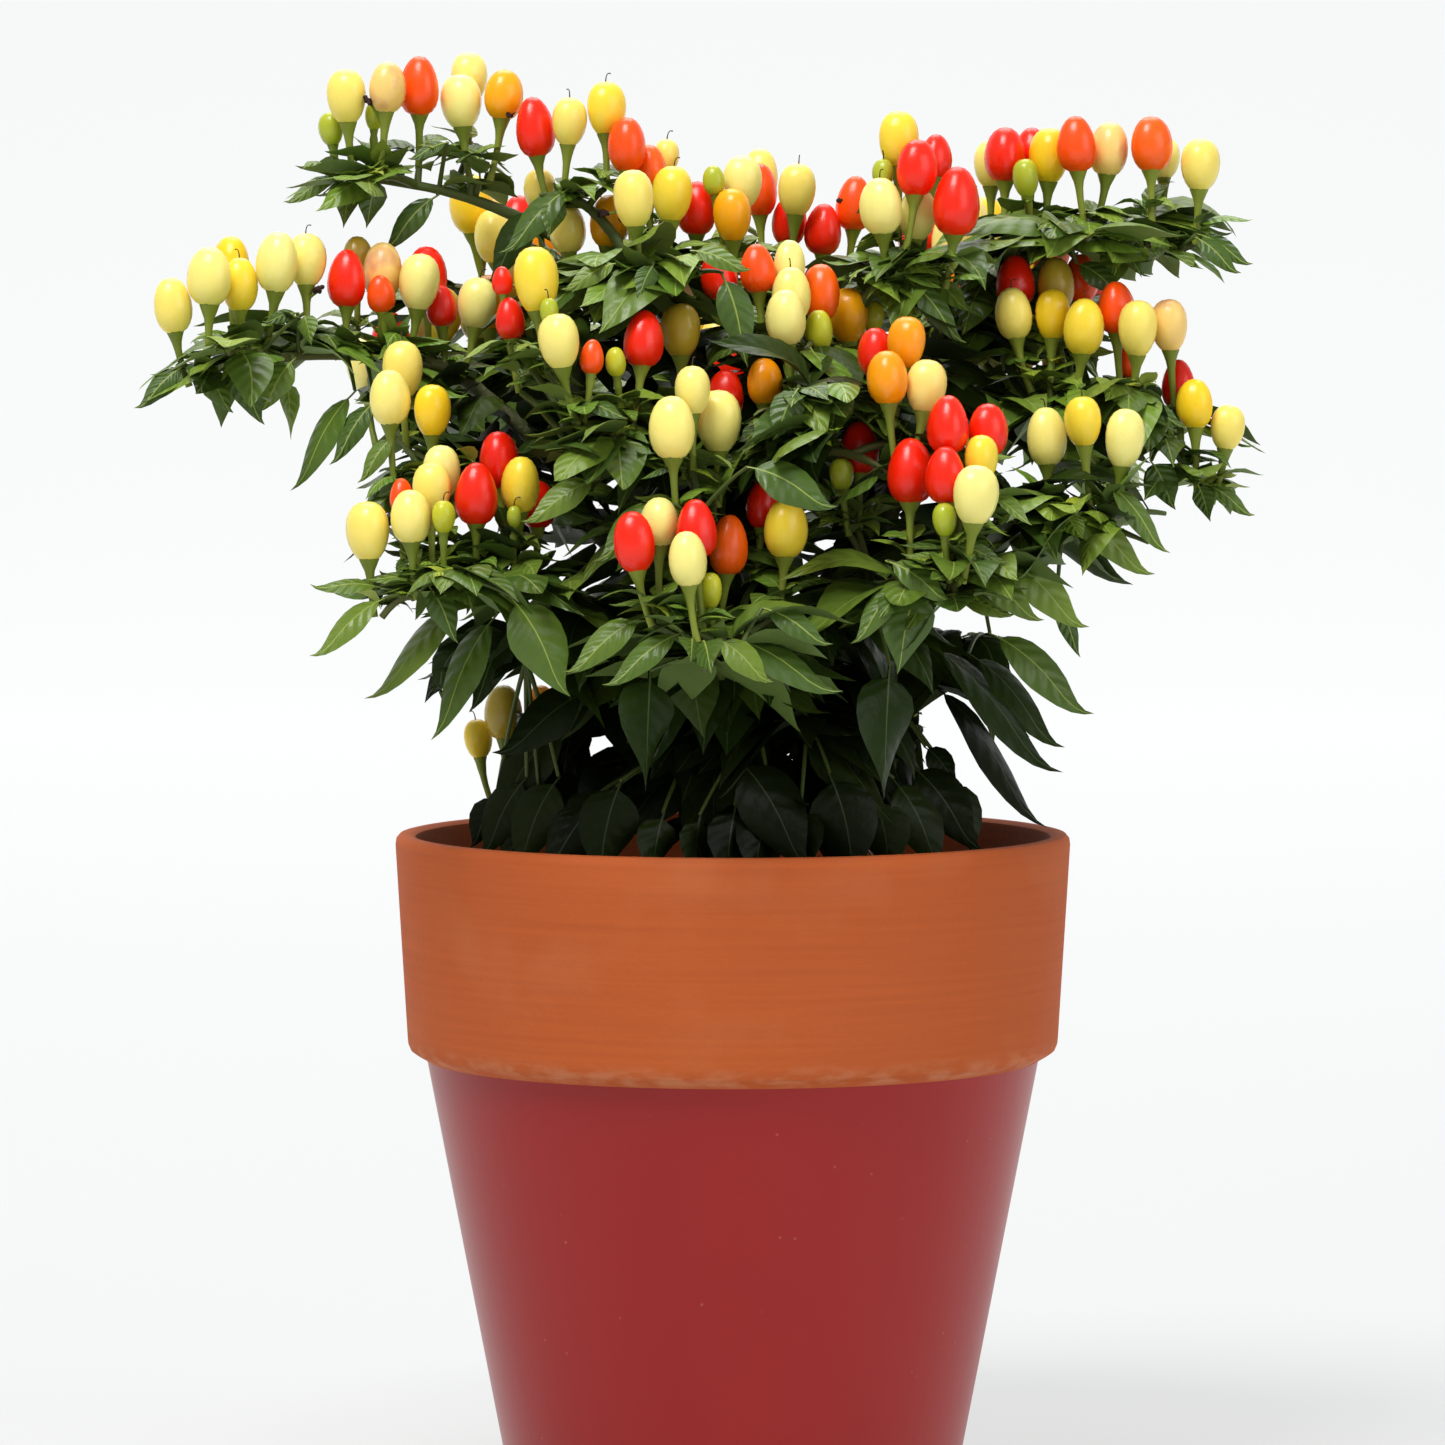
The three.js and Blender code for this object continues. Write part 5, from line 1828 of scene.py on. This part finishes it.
    def shoots(self, plans: list[Plan]) -> Heap:
        """Grows the stems, twigs and spurs."""
        heap = Heap()
        for i, plan in enumerate(plans):
            ridges = Limbs.ridged(2.1 * i, 4, 0.05)
            count = 16
            radii = np.linspace(*self.stem_radii, count)
            radii[-len(self.stem_end):] = self.stem_end
            heap.add(tube(plan.stem.path(count), radii, 8, ridges), i % 2)
            for twig in plan.twigs:
                heap.add(tube(twig.path(9), np.linspace(*self.twig_radii, 9), 6), i % 2)
            for spur in plan.spurs:
                heap.add(tube(spur.path(6), np.linspace(*self.spur_radii, 6), 6), i % 2)
        for stalk in self.seen_leaves()[1]:
            heap.add(tube(stalk.path(6), np.linspace(*self.leaf_stalk_radii, 6), 6), 0)
        return heap

    def free(self, leaf: Leaf, fruits: Point, sizes: Point) -> bool:
        """Says whether a leaf clears the pot, the compost and every pepper.

        Args:
            leaf: The leaf.
            fruits: The centres of all peppers.
            sizes: Their scales.

        Returns:
            True if it may stay.
        """
        samples = self.small.points(leaf)[2 * self.small.corners:]
        if self.pot.hit_by(samples):
            return False
        shown = self.rule.view.shown(samples)
        for window in WINDOWS:
            off = (shown - [window.across, window.down]) / [window.half_wide, window.half_high]
            if (np.hypot(off[:, 0], off[:, 1]) < 1).any():
                return False
        reach = np.interp(samples[:, 2], self.skirt_heights, self.skirt_reach)
        if (np.hypot(samples[:, 0], samples[:, 1]) > reach + 500 * (samples[:, 2] > 262)).any():
            return False
        apart = samples[:, None, :] - fruits[None, :, :]
        apart[:, :, 2] *= self.rule.fruit_width / self.rule.fruit_length
        near = np.linalg.norm(apart, axis=2) - sizes[None, :] * self.rule.fruit_width / 2
        if (near < self.leaf_clear).any():
            return False
        scale = (self.rule.view.distance + samples[:, 1]) / self.rule.view.distance
        ahead = samples[:, None, 1] < fruits[None, :, 1]
        side = samples[:, None, 0] / scale[:, None] - fruits[None, :, 0]
        over = (samples[:, None, 2] - fruits[None, :, 2]) * self.rule.fruit_width / self.rule.fruit_length
        hidden = ahead & (np.hypot(side, over) < sizes[None, :] * self.rule.fruit_width * 0.45)
        return not bool(hidden[:, fruits[:, 1] < self.clear_depth].any())

    def blades(self, plans: list[Plan]) -> dict[LeafSort, Heap]:
        """Lays every leaf that has room, each in the heap of its sort.

        Args:
            plans: The plans of all masses.

        Returns:
            The heaps by sort.
        """
        heaps = {sort: Heap() for sort in (self.shaded, self.old, self.grown, self.fresh, self.young)}
        cuts = {blade: (*blade.faces(), blade.marks()) for blade in (self.large, self.small)}
        stream = Stream(77)

        def lay(leaf: Leaf, sort: LeafSort) -> None:
            """Lays one leaf in a tone of its sort."""
            sort = self.shaded if sort is self.old and leaf.root[2] < self.shaded_below else sort
            tone, rib = stream.pick(len(sort.tones)), len(sort.tones)
            blade = self.large if leaf.length > self.large_from else self.small
            faces, parts, marks = cuts[blade]
            looks = [(tone, rib, rib + 1)[part] for part in parts]
            heaps[sort].add(Shape(blade.points(leaf), faces, marks), looks)

        # Painted shade: aged_and_shaded seen leaves, low by the rim, take the darker old sort
        for leaf, aged_and_shaded in self.seen_leaves()[0]:
            lay(leaf, self.old if aged_and_shaded else self.grown)
        fruits = [fruit for plan in plans for fruit in plan.fruits]
        centres = np.array([fruit.centre for fruit in fruits])
        sizes = np.array([fruit.scale for fruit in fruits])
        # Painted shade: bough leaves below light_from take the darker old sort
        tried = [
            (leaf, self.grown if leaf.root[2] > self.light_from else self.old) for leaf in self.bough_leaves()
        ]
        for plan in plans:
            # Painted shade: the leaves of hanging skirt masses take the darker old sort
            low = plan.mass.hang > HANGS_FROM
            tried += [(leaf, self.young) for leaf in plan.young]
            for leaf in plan.leaves:
                # Painted light: top and outer leaves take the lighter fresh sort by chance, small young ones
                # always
                outer = leaf.root[2] > self.lit_above or abs(leaf.root[0]) > self.lit_beyond
                light = leaf.length < 15 or outer and stream.next() < self.lit_share
                tried.append((leaf, self.old if low else self.fresh if light else self.grown))
        for leaf, sort in tried:
            for _ in range(self.tries):
                if self.free(leaf, centres, sizes):
                    lay(leaf, sort)
                    break
                leaf.way = turned(leaf.way, stream.between(-0.9, 0.9))
                leaf.lift = stream.between(-0.7, 0.7)
                leaf.length *= self.retry_share
        return heaps

    def pod(self, name: str, low: float) -> Shape:
        """Models one pepper of a half width and length of one, standing on its cap.

        Args:
            name: The object's name while it is modelled.
            low: How far its wide part lies below its middle, from -1 to 1.

        Returns:
            The pepper's shape.
        """
        turns = np.linspace(0, math.pi, self.pod_rings)
        radii = np.sin(turns) ** self.pod_fullness * (1 + low * np.cos(turns))
        radii[[0, -1]] = 0
        profile = list(zip((radii / radii.max()).tolist(), ((1 - np.cos(turns)) / 2).tolist(), strict=True))
        return taken_up(spun(name, profile, self.pod_sides))

    def peppers(self, plans: list[Plan]) -> dict[Ripeness, Heap]:
        """Stands every pepper on its stalk, each in the heap of its ripeness."""
        egg = self.pod("egg_pod", -0.1)
        plump = self.pod("plump_pod", 0.06)
        cone = self.pod("cone_pod", 0.19)
        heaps = {ripeness: Heap() for ripeness in Ripeness}
        stream = Stream(90217)
        for plan in plans:
            for fruit in plan.fruits:
                fruit.axis = unit(unit(fruit.centre - fruit.foot) + UP * 0.9)
                red = fruit.ripeness in (Ripeness.RED, Ripeness.SCARLET)
                common = stream.next() < self.common_share
                shape = (cone if red else egg) if common else plump
                wide = self.rule.fruit_width * fruit.scale * stream.between(*self.pod_widths) / 2
                long = self.rule.fruit_length * fruit.scale * stream.between(*self.pod_lengths)
                fruit.wide, fruit.long = wide, long
                side = unit(np.cross(fruit.axis, turned(EAST, stream.between(0, 6))))
                over = np.cross(fruit.axis, side)
                corner = shape.points
                round_it = np.arctan2(corner[:, 1], corner[:, 0])
                uneven = 1 + 0.05 * np.sin(round_it * 3 + stream.between(0, 6))
                points = (
                    side * (corner[:, :1] * wide * uneven[:, None])
                    + over * (corner[:, 1:2] * wide * uneven[:, None])
                    + fruit.axis * ((corner[:, 2:] - 0.5) * long)
                    + fruit.centre
                )
                tones = self.skins[fruit.ripeness]
                heaps[fruit.ripeness].add(Shape(points, shape.faces), stream.pick(len(tones)))
        return heaps

    def stalks(self, plans: list[Plan]) -> Heap:
        """Draws each pepper's stalk, which widens to the cap that holds the pepper."""
        heap = Heap()
        shares = np.array([0, 0.25, 0.5, 0.68, 0.8, 0.9, 1.0, 1.02])
        for plan in plans:
            for i, fruit in enumerate(plan.fruits):
                end = fruit.centre - fruit.axis * fruit.long * 0.445
                bend = end - fruit.axis * float(np.linalg.norm(end - fruit.foot)) * 0.5
                arc = Arc(fruit.foot, bend, end)
                cap = fruit.wide * 0.5
                slim = 0.7 + 0.3 * min(fruit.scale, 1.0)
                radii = np.array([1.0, 0.86, 0.9, 1.04, 1.35, 0, 0, 0]) * slim
                radii[5:] = [0.76 * cap, cap, 0.6 * cap]
                path = np.array([arc.point(min(float(s), 1.0)) for s in shares])
                path[-1] = end + fruit.axis * 0.35
                heap.add(tube(path, radii, 8), i % 2)
        return heap

    def withered(self, plans: list[Plan]) -> Heap:
        """Leaves the dried thread of the flower on some pale peppers, and a few dried flowers."""
        heap = Heap()
        stream = Stream(5519)
        for plan in plans:
            for fruit in plan.fruits:
                pale = fruit.ripeness in (Ripeness.CREAM, Ripeness.GREEN, Ripeness.YELLOW)
                if not pale or stream.next() > self.thread_share:
                    continue
                top = fruit.centre + fruit.axis * fruit.long * 0.5
                side = turned(EAST, stream.between(0, 6.28))
                end = top + fruit.axis * 2.0 + side * 1.6
                arc = Arc(top - fruit.axis * 0.6, top + fruit.axis * 2.6, end)
                heap.add(tube(arc.path(6), np.array([0.22, 0.16, 0.14, 0.13, 0.12, 0.2]), 5), 0)
        view = self.rule.view
        stalks = np.array([fruit.foot * share + (fruit.centre - fruit.axis * fruit.long * 0.5) * (1 - share)
                           for plan in plans for fruit in plan.fruits for share in (0.25, 0.5, 0.75)])
        shown = view.shown(stalks)
        for across, down in DRIED_FLOWERS:
            near = stalks[int(np.argmin(np.hypot(shown[:, 0] - across, shown[:, 1] - down)))]
            knot = view.place(across, down, float(near[1]) - 2)
            heap.add(tube(Arc.rising(near, knot, 0.6).path(5), np.linspace(0.45, 0.35, 5), 5), 2)
            for k in range(9):
                out = turned(EAST, k * 2.4 + stream.next())
                end = knot + out * stream.between(0.6, 1.8) + UP * stream.between(-1.0, 1.6)
                arc = Arc(knot, knot + UP * 0.9 + out * 0.5, end)
                heap.add(tube(arc.path(5), np.array([0.5, 0.8, 0.45, 0.7, 0.3]), 5), 1)
        return heap


# The studio


@dataclass(frozen=True)
class Studio:
    """A pale sweep of floor and wall, and soft lamps."""

    back: float = 3.2
    front: float = 6.0
    wide: float = 7.0
    rise: float = 5.0
    curve: float = 1.4
    room: float = 0.4
    # Painted light: the paper's glow on the floor, kept lower there as painted shade, and at the wall
    glow: Pair = (0.45, 0.655)

    def sweep(self) -> bpy.types.Object:
        """Models the floor with its far edge swept up as a wall."""
        bpy.ops.object.select_all(action="DESELECT")
        bpy.ops.mesh.primitive_plane_add(size=2)
        piece = bpy.context.object
        piece.name = "studio_sweep"
        piece.scale = (self.wide, (self.front + self.back) / 2, 1)
        piece.location = (0, (self.back - self.front) / 2, 0)
        bpy.ops.object.transform_apply(location=True, rotation=False, scale=True)
        bpy.ops.object.mode_set(mode="EDIT")
        bpy.ops.mesh.select_all(action="DESELECT")
        bpy.ops.object.mode_set(mode="OBJECT")
        for edge in piece.data.edges:
            ends = [piece.data.vertices[i].co.y for i in edge.vertices]
            edge.select = min(ends) > self.back - 0.01
            for i in edge.vertices:
                piece.data.vertices[i].select = piece.data.vertices[i].co.y > self.back - 0.01
        bpy.ops.object.mode_set(mode="EDIT")
        bpy.ops.mesh.select_mode(type="EDGE")
        for i in range(12):
            angle = (i + 0.5) / 12 * math.pi / 2
            step = self.curve * math.pi / 24
            way = Vector((0, math.cos(angle) * step, math.sin(angle) * step))
            bpy.ops.mesh.extrude_region_move(TRANSFORM_OT_translate={"value": way})
        bpy.ops.mesh.extrude_region_move(TRANSFORM_OT_translate={"value": Vector((0, 0, self.rise))})
        bpy.ops.object.mode_set(mode="OBJECT")
        smoothed(piece, 40)
        piece.data.materials.append(Paper("studio_paper", self.glow, 0.2, self.back).material())
        return piece

    @staticmethod
    def lamp(name: str, place: Triple, size: float, power: float) -> bpy.types.Object:
        """Hangs a square lamp that faces the plant.

        Args:
            name: The lamp's name.
            place: Where it hangs, in metres.
            size: Its side, in metres.
            power: Its power in watts.

        Returns:
            The lamp.
        """
        data = bpy.data.lights.new(name, "AREA")
        data.shape = "SQUARE"
        data.size = size
        data.energy = power
        lamp = bpy.data.objects.new(name, data)
        bpy.context.scene.collection.objects.link(lamp)
        lamp.location = place
        lamp.rotation_euler = (Vector(place) - Vector((0, 0, 0.2))).to_track_quat("Z", "Y").to_euler()
        return lamp

    def light(self) -> None:
        """Hangs the lamps and lights the room round them."""
        self.lamp("key", (-0.6, -1.05, 2.2), 1.0, 46)
        self.lamp("fill", (1.9, -1.6, 1.1), 1.6, 16)
        self.lamp("paper_light", (0, 2.0, 3.8), 3.0, 105)
        world = bpy.data.worlds.new("room")
        world.use_nodes = True
        ground = world.node_tree.nodes["Background"]
        ground.inputs["Color"].default_value = (1, 1, 1, 1)
        ground.inputs["Strength"].default_value = self.room
        bpy.context.scene.world = world
        bpy.context.scene.view_settings.view_transform = "Standard"


# Putting it together


@dataclass
class Dresser:
    """Puts each finished piece on its body, in the place of the nodes that it stands for."""

    nodes: Sequence[str]

    def put(self, piece: bpy.types.Object, nodes: Sequence[str] = ()) -> bpy.types.Object:
        """Rides a piece on the plant's one body and reports it.

        Args:
            piece: The finished piece.
            nodes: The nodes that it stands for.

        Returns:
            The piece.
        """
        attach(piece, "root")
        if nodes:
            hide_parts(*nodes)
        log.info("%s: %d faces", piece.name, len(piece.data.polygons))
        return piece

    def starting(self, word: str) -> list[str]:
        """Returns the names of the nodes that start with a word."""
        return [name for name in self.nodes if name.startswith(word)]


def dress_pot(pot: Pot, dresser: Dresser) -> None:
    """Builds the pot, its paint and the compost."""
    clay = pot.clay()
    clay.data.materials.append(Terracotta("fired_clay").material())
    smoothed(clay, 32)
    dresser.put(clay, ["pot"])
    coat = pot.paint()
    coat.data.materials.append(RedPaint("red_gloss").material())
    smoothed(coat, 32)
    dresser.put(coat)
    soil = Compost("damp_compost").material()
    fill = pot.compost()
    fill.data.materials.append(soil)
    smoothed(fill, 50)
    dresser.put(fill, ["compost"])
    shades = [soil, Compost("peat_crumb", (46, 32, 22), (70, 52, 36)).material(),
              Compost("pale_fibre", (96, 74, 52), (140, 112, 80)).material()]
    dresser.put(pot.loose_crumbs(len(shades)).joined("compost_crumbs", shades, 30))


def dress_plant(pot: Pot, dresser: Dresser) -> None:
    """Builds the limbs and all that grows on them."""
    limbs = Limbs()
    wood = limbs.grow().joined("trunk_and_boughs", [Bark("chilli_bark").material()], 60)
    dresser.put(wood, ["trunk", *dresser.starting("bough_")])
    foliage = Foliage(limbs, pot)
    plans = foliage.plans()
    greens = [Skin("shoot_green", (74, 88, 38), (0.4, 0.55)), Skin("shoot_olive", (88, 92, 46), (0.4, 0.55))]
    shoots = foliage.shoots(plans).joined("shoots", [finish.material() for finish in greens], 60)
    dresser.put(shoots, dresser.starting("foliage_"))
    pods = foliage.peppers(plans)
    for sort, heap in foliage.blades(plans).items():
        if heap.copies:
            log.info("%s: %d leaves", sort.name, heap.copies)
            dresser.put(heap.joined(sort.name + "_blades", sort.finishes(), 55))
    for ripeness, heap in pods.items():
        if not heap.copies:
            continue
        name = ripeness.name.lower() + "_peppers"
        tones = foliage.skins[ripeness]
        kind = BlushedSkin if ripeness is Ripeness.BLUSHED else Skin
        skins = [
            kind(f"{name}_{i}", tone, (0.26, 0.34), (700, 0.00006), coat=0.1, depth=0.1, shine=0.42)
            for i, tone in enumerate(tones)
        ]
        dresser.put(heap.joined(name, [skin.material() for skin in skins], 80))
    caps = [Skin("stalk_green", (116, 130, 42), (0.4, 0.5)), Skin("stalk_lime", (132, 144, 50), (0.4, 0.5))]
    stalks = foliage.stalks(plans).joined("pepper_stalks", [cap.material() for cap in caps], 60)
    dresser.put(stalks)
    dry = [
        Skin("dried_thread", (66, 48, 30), (0.7, 0.8)),
        Skin("dried_flower", (50, 30, 24), (0.75, 0.9)),
        caps[0],
    ]
    threads = foliage.withered(plans).joined("dried_threads", [finish.material() for finish in dry], 60)
    dresser.put(threads)


def main() -> None:
    """Builds the camera, the studio, the pot and the plant."""
    logging.basicConfig(level=logging.INFO, format="%(message)s")
    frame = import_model()
    View().camera()
    studio = Studio()
    studio.sweep()
    studio.light()
    pot = Pot()
    dresser = Dresser(list(frame["nodes"]))
    dress_pot(pot, dresser)
    dress_plant(pot, dresser)


if __name__ == "__main__":
    main()
